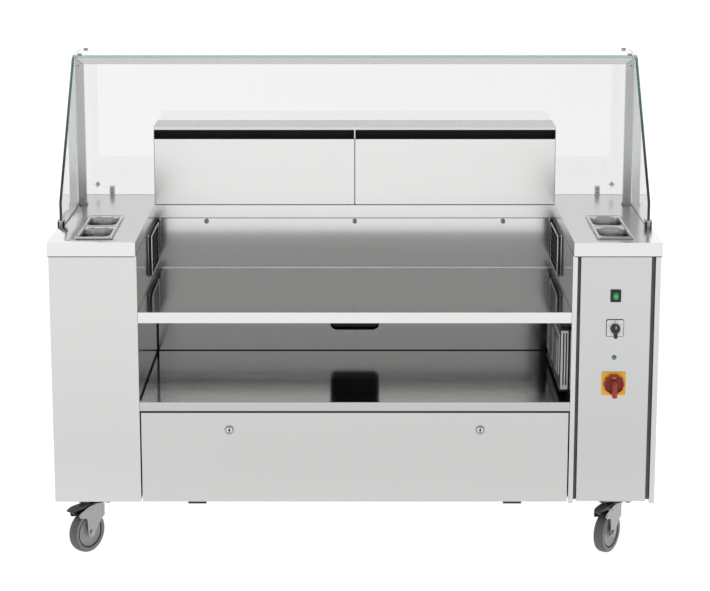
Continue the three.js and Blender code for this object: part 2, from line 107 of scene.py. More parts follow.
def math_node(nt, op, a, b=None, clamp=False):
    m = nt.nodes.new("ShaderNodeMath")
    m.operation = op
    m.use_clamp = clamp
    for i, v in enumerate((a, b)):
        if v is None:
            continue
        if isinstance(v, (int, float)):
            m.inputs[i].default_value = v
        else:
            nt.links.new(v, m.inputs[i])
    return m.outputs[0]


def mix(nt, fac, a, b):
    m = nt.nodes.new("ShaderNodeMix")
    m.data_type = "RGBA"
    for k, v in ((0, fac), (6, a), (7, b)):
        if isinstance(v, (int, float)):
            m.inputs[k].default_value = v
        elif isinstance(v, tuple):
            m.inputs[k].default_value = (*v, 1)
        else:
            nt.links.new(v, m.inputs[k])
    return m.outputs[2]


def bump(nt, b, height, strength, distance):
    n = nt.nodes.new("ShaderNodeBump")
    n.inputs["Strength"].default_value = strength
    n.inputs["Distance"].default_value = distance
    nt.links.new(height, n.inputs["Height"])
    nt.links.new(n.outputs["Normal"], b.inputs["Normal"])


def edge_wear(nt, radius=0.002):
    """Facing-free measure of a sharp edge: the bevelled normal against the true one."""
    bv = nt.nodes.new("ShaderNodeBevel")
    bv.samples = 4
    bv.inputs["Radius"].default_value = radius
    geo = nt.nodes.new("ShaderNodeNewGeometry")
    d = nt.nodes.new("ShaderNodeVectorMath")
    d.operation = "DOT_PRODUCT"
    nt.links.new(bv.outputs["Normal"], d.inputs[0])
    nt.links.new(geo.outputs["Normal"], d.inputs[1])
    return remap(nt, d.outputs["Value"], 1.0, 0.0, 0.80, 0.995)


def sheet(name, color, rough, grain, vary=0.0025, rvary=0.006, fine=700.0, bump_s=0.006, smudge=0.010):
    """Brushed or polished sheet: streaks stretched along the grain, in three widths, over slow smudges."""
    m, nt, b = new_mat(name)
    along = {"X": (1, 0, 0), "Y": (0, 1, 0), "Z": (0, 0, 1)}[grain]

    def sc(across, length):
        return tuple(length if a else across for a in along)

    f1 = noise(nt, sc(fine, 2.5), 2.0)
    f2 = noise(nt, sc(45.0, 0.6), 1.0, (3.1, 1.7, 5.3))
    f3 = noise(nt, sc(14.0, 0.5), 1.0, (7.7, 2.3, 1.1))
    sm = noise(nt, (2.2, 2.2, 2.2), 3.0, (1.3, 4.1, 2.9), 0.6)
    streak = math_node(nt, "ADD", math_node(nt, "MULTIPLY", f2, 0.25), math_node(nt, "MULTIPLY", f3, 0.75))
    c = mix(nt, remap(nt, streak, 0.0, 1.0, 0.36, 0.64), tuple(v * (1 - vary) for v in color), tuple(min(1, v * (1 + vary)) for v in color))
    c = mix(nt, remap(nt, sm, 0.0, 1.0), c, tuple(min(1.0, v * (1 + smudge)) for v in color))
    nt.links.new(c, b.inputs["Base Color"])
    r = math_node(nt, "ADD", remap(nt, streak, rough - rvary, rough + rvary, 0.36, 0.64), remap(nt, sm, -smudge * 0.6, smudge * 0.6))
    nt.links.new(r, b.inputs["Roughness"])
    b.inputs["Metallic"].default_value = 1.0
    if bump_s > 0.01:
        bump(nt, b, f1, bump_s, 0.00004)
    return m


def cast(name, color, rough, metallic=1.0, grit=350.0, vary=0.08, bump_s=0.15, wear=None):
    """Zinc, aluminium, rubber or moulded plastic: fine grit, cloudy colour, and lighter or darker edges."""
    m, nt, b = new_mat(name)
    g = noise(nt, (grit, grit, grit), 3.0)
    cl = noise(nt, (14.0, 14.0, 14.0), 3.0, (5.1, 2.2, 8.3), 0.5)
    c = mix(nt, remap(nt, cl, 0.0, 1.0), tuple(v * (1 - vary) for v in color), tuple(min(1, v * (1 + vary)) for v in color))
    if wear is not None:
        c = mix(nt, edge_wear(nt, 0.0014), c, wear)
    nt.links.new(c, b.inputs["Base Color"])
    nt.links.new(math_node(nt, "ADD", remap(nt, g, rough - 0.05, rough + 0.05), remap(nt, cl, -0.05, 0.05)), b.inputs["Roughness"])
    b.inputs["Metallic"].default_value = metallic
    bump(nt, b, g, bump_s, 0.00008)
    return m


STEEL = (0.655, 0.655, 0.649)
m_panel = sheet("brushed_sheet_vertical", STEEL, 0.28, "Z")
m_wide = sheet("brushed_sheet_lengthwise", STEEL, 0.25, "X")
m_ctrl = sheet("brushed_sheet_control", (0.600, 0.600, 0.595), 0.28, "Z")
m_service = sheet("brushed_sheet_service", (0.610, 0.610, 0.604), 0.27, "X")
m_top = sheet("brushed_sheet_worktop", (0.715, 0.715, 0.708), 0.22, "X")
m_cover = sheet("brushed_sheet_covers", (0.745, 0.745, 0.738), 0.26, "X")
m_shelf = sheet("brushed_sheet_shelf", (0.71, 0.71, 0.702), 0.105, "X", 0.012, 0.018)
# painted shade: the upper shelf's sheet made darker, for the shade low in the bay
m_shelf_low_shaded = sheet("brushed_sheet_lower_shelf_painted_shade", (0.54, 0.54, 0.532), 0.10, "X", 0.02, 0.018)
m_inner = sheet("brushed_sheet_inner", (0.64, 0.64, 0.634), 0.135, "X", 0.010, 0.018)
m_pan = sheet("polished_pan", (0.62, 0.62, 0.61), 0.15, "Z", 0.03, 0.04, 300.0, 0.03)
m_alu = sheet("aluminium_section", (0.43, 0.435, 0.44), 0.25, "Z", 0.006, 0.015, 500.0, 0.012)
m_alu_x = sheet("aluminium_section_rail", (0.56, 0.565, 0.57), 0.25, "X", 0.006, 0.015, 500.0, 0.012)
m_bright = cast("satin_chrome_fitting", (0.74, 0.745, 0.75), 0.24, 1.0, 300.0, 0.04, 0.05)
m_zinc = cast("zinc_plated", (0.36, 0.365, 0.37), 0.20, 1.0, 90.0, 0.02, 0.005)
m_bolt = cast("zinc_fastener", (0.42, 0.42, 0.42), 0.32, 1.0, 300.0, 0.10, 0.2)
m_black = cast("black_plastic", (0.020, 0.021, 0.022), 0.42, 0.0, 500.0, 0.20, 0.25, (0.055, 0.056, 0.058))
m_pedal = cast("pedal_plastic", (0.045, 0.046, 0.048), 0.45, 0.0, 420.0, 0.20, 0.3, (0.10, 0.10, 0.105))
# painted shade: near-black material laid in gaps, slots, drive recesses and openings where shade falls
m_shade = cast("painted_shade_black", (0.006, 0.006, 0.006), 0.80, 0.0, 200.0, 0.3, 0.1)
m_seal = cast("seam_seal", (0.150, 0.140, 0.130), 0.45, 0.0, 260.0, 0.25, 0.2)
m_rubber = cast("wheel_rubber", (0.105, 0.107, 0.110), 0.60, 0.0, 240.0, 0.10, 0.45, (0.16, 0.16, 0.165))
m_wall = cast("wheel_rubber_sidewall", (0.20, 0.202, 0.206), 0.52, 0.0, 240.0, 0.06, 0.25)
m_hub = cast("grey_wheel_hub", (0.30, 0.302, 0.304), 0.42, 0.0, 300.0, 0.06, 0.1)
m_grey = cast("grey_plastic", (0.24, 0.245, 0.25), 0.42, 0.0, 320.0, 0.07, 0.1)
m_lid = cast("socket_lid", (0.60, 0.61, 0.62), 0.36, 0.0, 320.0, 0.06, 0.1)
m_white = cast("white_plastic", (0.93, 0.93, 0.925), 0.38, 0.0, 380.0, 0.04, 0.15)
m_red = cast("red_plastic", (0.38, 0.030, 0.014), 0.34, 0.0, 360.0, 0.10, 0.2, (0.48, 0.06, 0.028))
# painted shade: a darker copy of the red plastic for the knob's recessed centre
m_red_shade = cast("red_plastic_painted_shade", (0.22, 0.022, 0.010), 0.42, 0.0, 360.0, 0.10, 0.2)
m_yellow = cast("yellow_plastic", (0.93, 0.50, 0.012), 0.40, 0.0, 380.0, 0.05, 0.15)


def galvanised():
    m, nt, b = new_mat("galvanised")
    v = nt.nodes.new("ShaderNodeTexVoronoi")
    v.inputs["Scale"].default_value = 1.0
    nt.links.new(coords(nt, (95, 95, 95)), v.inputs["Vector"])
    sp = nt.nodes.new("ShaderNodeSeparateColor")
    nt.links.new(v.outputs["Color"], sp.inputs["Color"])
    nt.links.new(mix(nt, sp.outputs[0], (0.40, 0.42, 0.44), (0.54, 0.55, 0.57)), b.inputs["Base Color"])
    nt.links.new(remap(nt, sp.outputs[1], 0.32, 0.52, 0.0, 1.0), b.inputs["Roughness"])
    b.inputs["Metallic"].default_value = 1.0
    bump(nt, b, v.outputs["Distance"], 0.08, 0.0002)
    return m


m_galv = galvanised()


def beam():
    """Galvanised beam whose hanging lugs are painted near-black: painted shade where they hang in shadow under the
    floor.
    """
    m = m_galv.copy()
    m.name = "galvanised_lugs_painted_shade"
    nt = m.node_tree
    b = nt.nodes["Principled BSDF"]
    tc = nt.nodes.new("ShaderNodeTexCoord")
    sp = nt.nodes.new("ShaderNodeSeparateXYZ")
    nt.links.new(tc.outputs["Object"], sp.inputs["Vector"])
    # painted shade: below z 0.166 the lugs turn near-black and non-metallic
    f = remap(nt, sp.outputs["Z"], 1.0, 0.0, 0.1658, 0.1662)
    nt.links.new(mix(nt, f, b.inputs["Base Color"].links[0].from_socket, (0.012, 0.012, 0.012)), b.inputs["Base Color"])
    nt.links.new(math_node(nt, "SUBTRACT", 1.0, f), b.inputs["Metallic"])
    return m


m_beam_shaded_lugs = beam()


def glow(name, centre, inner, outer, radius, strength):
    """Translucent moulded lens, brighter over its lamp."""
    m, nt, b = new_mat(name)
    tc = nt.nodes.new("ShaderNodeTexCoord")
    d = nt.nodes.new("ShaderNodeVectorMath")
    d.operation = "DISTANCE"
    nt.links.new(tc.outputs["Object"], d.inputs[0])
    d.inputs[1].default_value = centre
    f = remap(nt, d.outputs["Value"], 1.0, 0.0, radius * 0.35, radius)
    rib = noise(nt, (900, 900, 900), 2.0)
    c = mix(nt, f, outer, inner)
    nt.links.new(c, b.inputs["Base Color"])
    nt.links.new(c, b.inputs["Emission Color"])
    nt.links.new(math_node(nt, "MULTIPLY", f, strength), b.inputs["Emission Strength"])
    nt.links.new(remap(nt, rib, 0.12, 0.26), b.inputs["Roughness"])
    b.inputs["Coat Weight"].default_value = 0.5
    b.inputs["Coat Roughness"].default_value = 0.08
    return m


def glass(name, axis, tint=(0.775, 0.780, 0.778), edge=(0.16, 0.33, 0.29)):
    """Clear toughened pane: faintly tinted through its faces, green along its ground edges. The pane's thickness is along axis."""
    m, nt, b = new_mat(name)
    tc = nt.nodes.new("ShaderNodeTexCoord")
    sp = nt.nodes.new("ShaderNodeSeparateXYZ")
    nt.links.new(tc.outputs["Normal"], sp.inputs["Vector"])
    n = math_node(nt, "ABSOLUTE", sp.outputs["XYZ".index(axis)])
    f = remap(nt, n, 1.0, 0.0, 0.35, 0.75)
    film = noise(nt, (3.0, 3.0, 3.0), 3.0, (2.0, 1.0, 4.0), 0.4)
    face = mix(nt, remap(nt, film, 0.0, 1.0), tint, tuple(v * 1.012 for v in tint))
    nt.links.new(mix(nt, f, face, edge), b.inputs["Base Color"])
    nt.links.new(remap(nt, f, 0.0, 0.30, 0.0, 1.0), b.inputs["Roughness"])
    b.inputs["IOR"].default_value = 1.50
    b.inputs["Transmission Weight"].default_value = 1.0
    return m


m_glass_x = glass("clear_glass_side", "X", (0.87, 0.878, 0.875), (0.10, 0.25, 0.21))
m_glass_y = glass("clear_glass_rear", "Y")
m_glass_z = glass("clear_glass_top", "Z", (0.93, 0.94, 0.937), (0.42, 0.60, 0.56))

# ------------------------------------------------------------------ mesh tools (millimetres)
I4 = Matrix.Identity(4)


def T(x, y, z):
    return Matrix.Translation((x, y, z))


def R(deg, axis):
    return Matrix.Rotation(math.radians(deg), 4, axis)


FRONT = Matrix(((1, 0, 0, 0), (0, 0, -1, 0), (0, 1, 0, 0), (0, 0, 0, 1)))  # local (right, up, towards the operator)


def done(bm):
    bmesh.ops.recalc_face_normals(bm, faces=bm.faces[:])
    return bm


def b_box(x0, x1, y0, y1, z0, z1, r=0.0, seg=2):
    bm = bmesh.new()
    bmesh.ops.create_cube(bm, size=1)
    for v in bm.verts:
        v.co = Vector(((x0 + x1) / 2 + v.co.x * (x1 - x0), (y0 + y1) / 2 + v.co.y * (y1 - y0), (z0 + z1) / 2 + v.co.z * (z1 - z0)))
    if r > 0:
        bmesh.ops.bevel(bm, geom=bm.edges[:], offset=r, segments=seg, profile=0.5, affect="EDGES", clamp_overlap=True)
    return done(bm)


def b_prism(pts, z0, z1, r=0.0, seg=2):
    bm = bmesh.new()
    a = [bm.verts.new((p[0], p[1], z0)) for p in pts]
    b = [bm.verts.new((p[0], p[1], z1)) for p in pts]
    n = len(pts)
    bm.faces.new(a)
    bm.faces.new(b)
    for i in range(n):
        bm.faces.new((a[i], a[(i + 1) % n], b[(i + 1) % n], b[i]))
    done(bm)
    if r > 0:
        rims = [e for e in bm.edges if abs(e.verts[0].co.z - e.verts[1].co.z) < 1e-6]
        bmesh.ops.bevel(bm, geom=rims, offset=r, segments=seg, profile=0.5, affect="EDGES", clamp_overlap=True)
    return done(bm)


def b_loft(rings, caps=True, closed=False):
    bm = bmesh.new()
    vs = [[bm.verts.new(p) for p in ring] for ring in rings]
    n = len(rings[0])
    pairs = list(zip(vs, vs[1:])) + ([(vs[-1], vs[0])] if closed else [])
    for a, b in pairs:
        for i in range(n):
            bm.faces.new((a[i], a[(i + 1) % n], b[(i + 1) % n], b[i]))
    if caps and not closed:
        bm.faces.new(vs[0])
        bm.faces.new(vs[-1])
    return done(bm)


def b_lathe(profile, n=48, closed=False):
    """Profile of (radius, z), spun round Z. Ends with radius 0 become poles; closed joins the last point to the first."""
    bm = bmesh.new()
    rows = []
    for r, z in profile:
        if r < 1e-6:
            rows.append([bm.verts.new((0, 0, z))])
        else:
            rows.append([bm.verts.new((r * math.cos(2 * math.pi * i / n), r * math.sin(2 * math.pi * i / n), z)) for i in range(n)])
    pairs = list(zip(rows, rows[1:])) + ([(rows[-1], rows[0])] if closed else [])
    for a, b in pairs:
        for i in range(n):
            j = (i + 1) % n
            if len(a) == 1 and len(b) == 1:
                continue
            if len(a) == 1:
                bm.faces.new((a[0], b[i], b[j]))
            elif len(b) == 1:
                bm.faces.new((a[i], a[j], b[0]))
            else:
                bm.faces.new((a[i], a[j], b[j], b[i]))
    return done(bm)


def ring(w, h, r, z, k=5, cx=0.0, cy=0.0):
    r = max(0.05, min(r, w / 2 - 0.01, h / 2 - 0.01))
    out = []
    for sx, sy, a0 in ((1, 1, 0), (-1, 1, 90), (-1, -1, 180), (1, -1, 270)):
        for i in range(k + 1):
            a = math.radians(a0 + 90 * i / k)
            out.append((cx + sx * (w / 2 - r) + r * math.cos(a), cy + sy * (h / 2 - r) + r * math.sin(a), z))
    return out


def rounded(w, h, r, k=5, cx=0.0, cy=0.0):
    return [(p[0], p[1]) for p in ring(w, h, r, 0, k, cx, cy)]


def circle(r, n=40, cx=0.0, cy=0.0, a0=0.0):
    return [(cx + r * math.cos(a0 + 2 * math.pi * i / n), cy + r * math.sin(a0 + 2 * math.pi * i / n)) for i in range(n)]


def fillet(pts, radii, k=4):
    """Rounds each corner of a closed outline by a quadratic arc."""
    out, n = [], len(pts)
    for i in range(n):
        p, a, b = Vector(pts[i]), Vector(pts[i - 1]), Vector(pts[(i + 1) % n])
        r = radii[i] if isinstance(radii, (list, tuple)) else radii
        da, db = min(r, 0.48 * (a - p).length), min(r, 0.48 * (b - p).length)
        if da < 0.05:
            out.append(tuple(p))
            continue
        s, e = p + (a - p).normalized() * da, p + (b - p).normalized() * db
        for j in range(k + 1):
            t = j / k
            out.append(tuple(s * (1 - t) ** 2 + p * 2 * t * (1 - t) + e * t * t))
    return out


class Piece:
    def __init__(self, name, body, slot=None, replaces=()):
        self.name, self.body, self.slot, self.rep = name, body, slot, replaces
        self.co, self.fa, self.mi, self.mats = [], [], [], []

    def put(self, bm, mat, M=I4):
        if mat not in self.mats:
            self.mats.append(mat)
        k, n = self.mats.index(mat), len(self.co)
        bm.verts.index_update()
        self.co += [M @ v.co for v in bm.verts]
        for f in bm.faces:
            self.fa.append([n + v.index for v in f.verts])
            self.mi.append(k)
        bm.free()
        return self

    def make(self, sharp=35, subsurf=0):
        me = bpy.data.meshes.new(self.name)
        me.from_pydata([(c.x / 1000, (c.y - CY) / 1000, c.z / 1000) for c in self.co], [], self.fa)
        for m in self.mats:
            me.materials.append(m)
        me.polygons.foreach_set("material_index", self.mi)
        me.polygons.foreach_set("use_smooth", [True] * len(self.fa))
        me.update()
        me.set_sharp_from_angle(angle=math.radians(sharp))
        ob = bpy.data.objects.new(self.name, me)
        SC.collection.objects.link(ob)
        if subsurf:
            ob.modifiers.new("subsurf", "SUBSURF").levels = subsurf
            ob.modifiers["subsurf"].render_levels = subsurf
        wn = ob.modifiers.new("normals", "WEIGHTED_NORMAL")
        wn.keep_sharp = True
        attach(ob, self.body)
        if self.rep:
            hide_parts(*self.rep)
        return ob


def screw(piece, M, r=4.0, h=2.2, mat=None, recess=True):
    """Pan-head screw standing along local Z from z = 0, with a near-black cross of painted shade for its drive recess.
    """
    mat = mat or m_bolt
    piece.put(b_lathe([(0, 0), (r, 0), (r, h * 0.35), (r * 0.86, h * 0.8), (r * 0.55, h), (0, h)], 24), mat, M)
    if recess:
        piece.put(b_box(-r * 0.5, r * 0.5, -r * 0.12, r * 0.12, h - 0.15, h + 0.08, 0.03, 1), m_shade, M)
        piece.put(b_box(-r * 0.12, r * 0.12, -r * 0.5, r * 0.5, h - 0.15, h + 0.09, 0.03, 1), m_shade, M)


def hexhead(piece, M, r, h, mat=None):
    piece.put(b_prism(circle(r, 6), 0, h, 0.5, 2), mat or m_bolt, M)


# ------------------------------------------------------------------ CAD nodes: bevelled edges and finishes
def cad(node, mat, bevel=0.6, angle=35):
    o = NODES[node]
    o.data.materials.clear()
    o.data.materials.append(mat)
    if bevel:
        w = o.modifiers.new("weld", "WELD")
        w.merge_threshold = 1e-5
        d = o.modifiers.new("flat", "DECIMATE")
        d.decimate_type = "DISSOLVE"
        d.angle_limit = math.radians(1.0)
        b = o.modifiers.new("bevel", "BEVEL")
        b.width = bevel / 1000
        b.segments = 2
        b.limit_method = "ANGLE"
        b.angle_limit = math.radians(angle)
        b.harden_normals = False


cad("control_panel", m_ctrl)
for n in ("left_cabinet_shell", "right_cabinet_shell", "rear_panel"):
    cad(n, m_panel)
for n in ("left_inner_panel", "right_inner_panel", "bay_back_panel"):
    cad(n, m_inner)
cad("worktop", m_top)
cad("hood_housing", m_wide)
for n in ("hood_cover_left", "hood_cover_right"):
    cad(n, m_cover)
cad("service_panel", m_service)
cad("upper_shelf", m_shelf)
cad("lower_shelf", m_shelf_low_shaded)
cad("front_base_beam", m_beam_shaded_lugs, 0.4)
for n in ("floor_pan", "rear_base_beam", "carbon_filter", "fan_housing"):
    cad(n, m_galv, 0.4)
for n in ("grease_filter_left", "grease_filter_right", "left_post", "right_post", "fan_impeller"):
    cad(n, m_alu, 0.8)
cad("top_rail", m_alu_x, 0.8)
for n in ("left_side_glass", "right_side_glass"):
    cad(n, m_glass_x, 0.9)
cad("rear_glass", m_glass_y, 0.9)
cad("top_glass", m_glass_z, 0.9)

# ------------------------------------------------------------------ castors
CASTORS = [(e, s) for e in ("front", "rear") for s in ("left", "right")]
for end, side in CASTORS:
    key = end + "_" + side
    pc, wc = mid("castor_plate_" + key), mid("castor_wheel_" + key)
    ang = math.degrees(math.atan2(wc.y - pc.y, wc.x - pc.x))
    trail = math.hypot(wc.x - pc.x, wc.y - pc.y)
    ph = hi("castor_plate_" + key).z
    A = T(pc.x, pc.y, 0) @ R(ang, "Z")
    AX = A @ T(trail, 0, wc.z)
    W = AX @ R(-90, "X")  # lathe axis along the axle
    wr = wc.z

    # wheel: moulded tread with round shoulders, dished hub disc, and a near-black ring of painted shade in the gap
    # between hub and tyre
    p = Piece("wheel_" + key, "wheel_" + key, "wheel_rubber", ["castor_wheel_" + key])
    half = [(45.6, 9.0), (46.0, 12.4), (47.6, 13.9), (51.0, 15.0), (55.5, 15.4), (58.6, 14.6), (60.6, 12.6), (61.8, 9.2), (62.35, 5.0), (wr, 0.0)]
    tyre = [(r, h) for r, h in half] + [(r, -h) for r, h in reversed(half[:-1])]
    p.put(b_lathe(tyre, 72, closed=True), m_rubber, W)
    for s in (1, -1):  # lighter moulded band on the sidewall
        p.put(b_lathe([(47.4, 14.0 * s), (51.0, 15.25 * s), (55.4, 15.65 * s), (57.6, 15.15 * s), (57.6, 14.4 * s), (47.4, 13.2 * s)], 72, closed=True), m_wall, W)
    hub = [(5.6, 15.8), (9.8, 15.8), (10.9, 14.9), (11.6, 12.2), (13.6, 10.6), (17, 10.0), (24, 9.3), (31, 9.2), (36.5, 9.9), (40.0, 11.6), (42.6, 12.5), (44.2, 12.3), (45.0, 10.6)]
    p.put(b_lathe(hub + [(r, -h) for r, h in reversed(hub)], 72, closed=True), m_hub, W)
    for s in (1, -1):
        # painted shade: near-black ring in the gap between hub and tyre
        p.put(b_lathe([(43.4, 13.3 * s), (47.0, 13.8 * s), (47.0, 10.5 * s), (43.4, 10.5 * s)], 72, closed=True), m_shade, W)
        p.put(b_lathe([(13.2, 10.9 * s), (14.4, 10.9 * s), (14.4, 9.4 * s), (13.2, 9.4 * s)], 48, closed=True), m_grey, W)
    p.make(32)

    # fork: pressed cheeks joined by a half-round front, swivel dome, axle bolt
    p = Piece("fork_" + key, "fork_" + key, "zinc_plated", ["castor_fork_" + key])
    cheek = [(-6, 146), (30, 146), (46, 145), (72, 136), (88.5, 129), (87, 116), (76, 112.5), (63, 111.5), (56.5, 104), (55.5, 86), (55.0, 60), (50, 49.5), (40, 47.5), (29, 50.5), (24, 64), (-6, 100)]
    cheek = fillet(cheek, [0, 3, 8, 6, 7, 7, 6, 8, 8, 16, 12, 8, 8, 8, 14, 0], 5)
    for s in (1, -1):
        M = A @ Matrix(((1, 0, 0, 0), (0, 0, s, 0), (0, 1, 0, 0), (0, 0, 0, 1)))
        p.put(b_prism(cheek, 18.4, 21.5, 0.9, 2), m_zinc, M)
        for x, z in ((45, 134), (80, 122.5)):
            p.put(b_lathe([(0, 21.2), (3.4, 21.2), (3.4, 22.0), (2.6, 22.9), (0, 23.1)], 20), m_bolt, M @ T(x, z, 0))
        p.put(b_lathe([(0, 21.2), (9.6, 21.2), (9.6, 22.3), (9.2, 22.8), (0, 22.8)], 32), m_zinc, M @ T(trail, wc.z, 0))
        hexhead(p, M @ T(trail, wc.z, 22.6) @ R(20, "Z"), 7.2, 3.4)
    rows = []
    for i in range(15):
        a = math.radians(90 + 180 * i / 14)
        c, sn = math.cos(a), math.sin(a)
        z0 = 100 + 8 * max(0.0, -c) ** 1.3
        ro, ri, x0 = 21.5, 18.4, -6
        rows.append([(x0 + ro * c, ro * sn, z0), (x0 + ro * c, ro * sn, 143.5), (x0 + (ro - 1.2) * c, (ro - 1.2) * sn, 146), (x0 + ri * c, ri * sn, 146), (x0 + ri * c, ri * sn, z0)])
    p.put(b_loft(rows), m_zinc, A)
    top = fillet([(28, -19), (28, 19), (-6, 19), (-20, 13), (-24.6, 0), (-20, -13), (-6, -19)], [3, 3, 0, 6, 8, 6, 0], 4)
    p.put(b_prism(top, 142.6, 145.6, 0.5, 1), m_zinc, A)
    p.put(b_lathe([(0, 139.5), (16, 139.5), (25.5, 141.5), (27, 143.5), (27.2, 146.4), (26.0, 148.0), (23.5, 148.6), (0, 148.6)], 48), m_zinc, A)
    p.put(b_lathe([(0, 136.2), (7.5, 136.2), (9.5, 137.2), (9.5, 140), (0, 140)], 6), m_bolt, A)
    p.put(b_lathe([(0, -17.9), (4.9, -17.9), (4.9, 17.9), (0, 17.9)], 24), m_bolt, W)
    for s in (1, -1):
        p.put(b_lathe([(5.0, 16.2 * s), (8.4, 16.2 * s), (8.4, 18.3 * s), (5.0, 18.3 * s)], 32, closed=True), m_bolt, W)
    p.make(35)

    # mounting plate with bolts and the ball race
    p = Piece("plate_" + key, "chassis", "zinc_plated", ["castor_plate_" + key])
    p.put(b_prism(rounded(105, 85, 9), ph - 3, ph, 0.6, 2), m_zinc, T(pc.x, pc.y, 0))
    p.put(b_lathe([(0, ph - 2.5), (30.5, ph - 2.5), (30.5, ph - 5.0), (28.5, ph - 7.6), (26.2, ph - 10.2), (24.0, ph - 10.9), (0, ph - 10.9)], 48), m_zinc, T(pc.x, pc.y, 0))
    for dx in (-40, 40):
        for dy in (-30, 30):
            hexhead(p, T(pc.x + dx, pc.y + dy, ph - 9.0) @ R(15, "Z"), 7.0, 5.4)
            p.put(b_lathe([(0, ph - 3.6), (8.6, ph - 3.6), (8.6, ph - 2.8), (0, ph - 2.8)], 28), m_zinc, T(pc.x + dx, pc.y + dy, 0))
    p.make(35)

    if end == "front":
        p = Piece("brake_lever_" + key, "pedal_" + key, "black_plastic", ["brake_pedal_" + key])
        rings = []
        for x, w, z, d in ((30.0, 29, 148.2, 5.5), (34, 31, 149.4, 8.5), (46, 32, 149.9, 10.0), (62, 32, 150.0, 10.0), (78, 31, 149.6, 9.5), (92, 29, 148.6, 8.0), (103, 25, 147.0, 6.0), (111, 18, 145.0, 4.2), (116.6, 9, 143.2, 2.6)):
            h, r, t = w / 2, min(3.2, w / 5), 2.6
            rings.append([(x, -h, z - d), (x, -h, z - r), (x, -h + r * 0.3, z - r * 0.3), (x, -h + r, z), (x, 0, z + 0.0), (x, h - r, z), (x, h - r * 0.3, z - r * 0.3), (x, h, z - r), (x, h, z - d),
                          (x, h - min(t, h * 0.6), z - d), (x, h - min(t, h * 0.6), z - min(t, d * 0.7)), (x, 0, z - min(t, d * 0.7)), (x, -h + min(t, h * 0.6), z - min(t, d * 0.7)), (x, -h + min(t, h * 0.6), z - d)])
        p.put(b_loft(rings), m_pedal, A)
        for x in (52, 60, 68, 76, 84, 92):  # grip ribs across the tread
            p.put(b_box(x - 1.3, x + 1.3, -11, 11, 147.5, 150.0 if x < 85 else 149.4, 0.5, 2), m_pedal, A)
        lobes = fillet([(72, 140.5), (108, 141), (104, 133), (98, 134.5), (95, 127.5), (86, 127), (84, 132), (74, 134)], 3.2, 4)
        p.put(b_prism(lobes, -5, 5, 1.0, 2), m_pedal, A @ Matrix(((1, 0, 0, 0), (0, 0, -1, 0), (0, 1, 0, 0), (0, 0, 0, 1))))
        p.put(b_lathe([(0, -5.8), (2.4, -5.8), (2.4, 5.8), (0, 5.8)], 20), m_zinc, A @ T(92, 0, 131.5) @ R(90, "X"))
        p.make(35)

# ------------------------------------------------------------------ pans
for side in ("left", "right"):
    for row in ("front", "rear"):
        node = "pan_%s_%s" % (side, row)
        c, top, bot = mid(node), hi(node).z, lo(node).z
        w, l = hi(node).x - lo(node).x, hi(node).y - lo(node).y
        base = lo("worktop").z * 0 + top - 5.6
        prof = [(w, l, 8, base), (w, l, 8, top - 2.4), (w - 0.8, l - 0.8, 7.6, top - 1.0), (w - 2.6, l - 2.6, 7, top - 0.1), (w - 8.5, l - 8.5, 5.5, top), (w - 10.0, l - 10.0, 5.5, top - 1.0),
                (w - 11.5, l - 11.5, 6, top - 1.3), (w - 16.0, l - 19.0, 29, top - 1.5), (w - 17.6, l - 21.0, 30, top - 2.6), (w - 19.0, l - 22.5, 30, top - 6.0), (w - 21.0, l - 25.0, 29, top - 24), (w - 25.0, l - 30.0, 25, top - 62),
                (w - 27.5, l - 33.0, 22, bot + 14), (w - 30.5, l - 36.0, 20, bot + 6), (w - 37.0, l - 43.0, 16, bot + 2.2), (w - 52.0, l - 58.0, 10, bot + 0.9)]
        p = Piece("gn_pan_%s_%s" % (side, row), "pan_%s_%s" % (side, row), "polished_pan", [node])
        p.put(b_loft([ring(a, b, r, z, 8, c.x, c.y) for a, b, r, z in prof][::-1], caps=False), m_pan)
        bm = bmesh.new()
        bm.faces.new([bm.verts.new(q) for q in ring(w - 52.0, l - 58.0, 10, bot + 0.9, 8, c.x, c.y)])
        p.put(bm, m_pan)
        ob = p.make(30)
        ob.modifiers.remove(ob.modifiers["normals"])
        wd = ob.modifiers.new("weld", "WELD")
        wd.merge_threshold = 2e-5
        so = ob.modifiers.new("gauge", "SOLIDIFY")
        so.thickness = 0.0008
        so.offset = 1.0
        so.use_even_offset = True

# ------------------------------------------------------------------ controls
cx = mid("rocker_frame").x
face = lo("control_panel").y
K = T(cx, face, 0) @ FRONT
zr, zf, zl, zm = mid("rocker_frame").z, mid("fan_switch_plate").z, mid("pilot_lamp").z, mid("main_switch_plate").z

p = Piece("rocker_bezel", "chassis", "black_plastic", ["rocker_frame"])
p.put(b_loft([ring(31, 37, 2.6, 0.4), ring(31, 37, 2.6, 3.8), ring(30.2, 36.2, 2.3, 4.7), ring(28.8, 34.8, 1.9, 5.1), ring(24.4, 30.4, 1.6, 5.1), ring(23.6, 29.6, 1.4, 4.2), ring(18.6, 26.0, 1.0, 4.0), ring(17.0, 24.6, 0.8, 3.4), ring(16.9, 24.5, 0.8, 1.0)]), m_black, K @ T(0, zr, 0))
p.put(b_prism(rounded(20.4, 26.4, 1.0), -14, 0.5, 0.4, 1), m_black, K @ T(0, zr, 0))
p.make(35)
m_green = glow("green_lens_rocker", ((cx + 1.0) / 1000, (face - 4 - CY) / 1000, (zr - 1.5) / 1000), (0.020, 0.42, 0.095), (0.003, 0.110, 0.026), 0.0105, 0.16)
p = Piece("rocker", "rocker", "green_lens", ["rocker_switch"])
prof = [(-11.5, 0.9), (-11.5, 4.7), (-9.5, 5.1), (-5.0, 5.3), (0.0, 5.7), (5.0, 6.4), (9.5, 7.2), (11.0, 7.1), (11.5, 6.4), (11.5, 0.9), (8, -9), (-8, -9)]
p.put(b_prism([(a, b) for a, b in prof], -7.9, 7.9, 0.7, 2), m_green, T(cx, face, zr) @ Matrix(((0, 0, 1, 0), (0, -1, 0, 0), (1, 0, 0, 0), (0, 0, 0, 1))))
p.make(30)

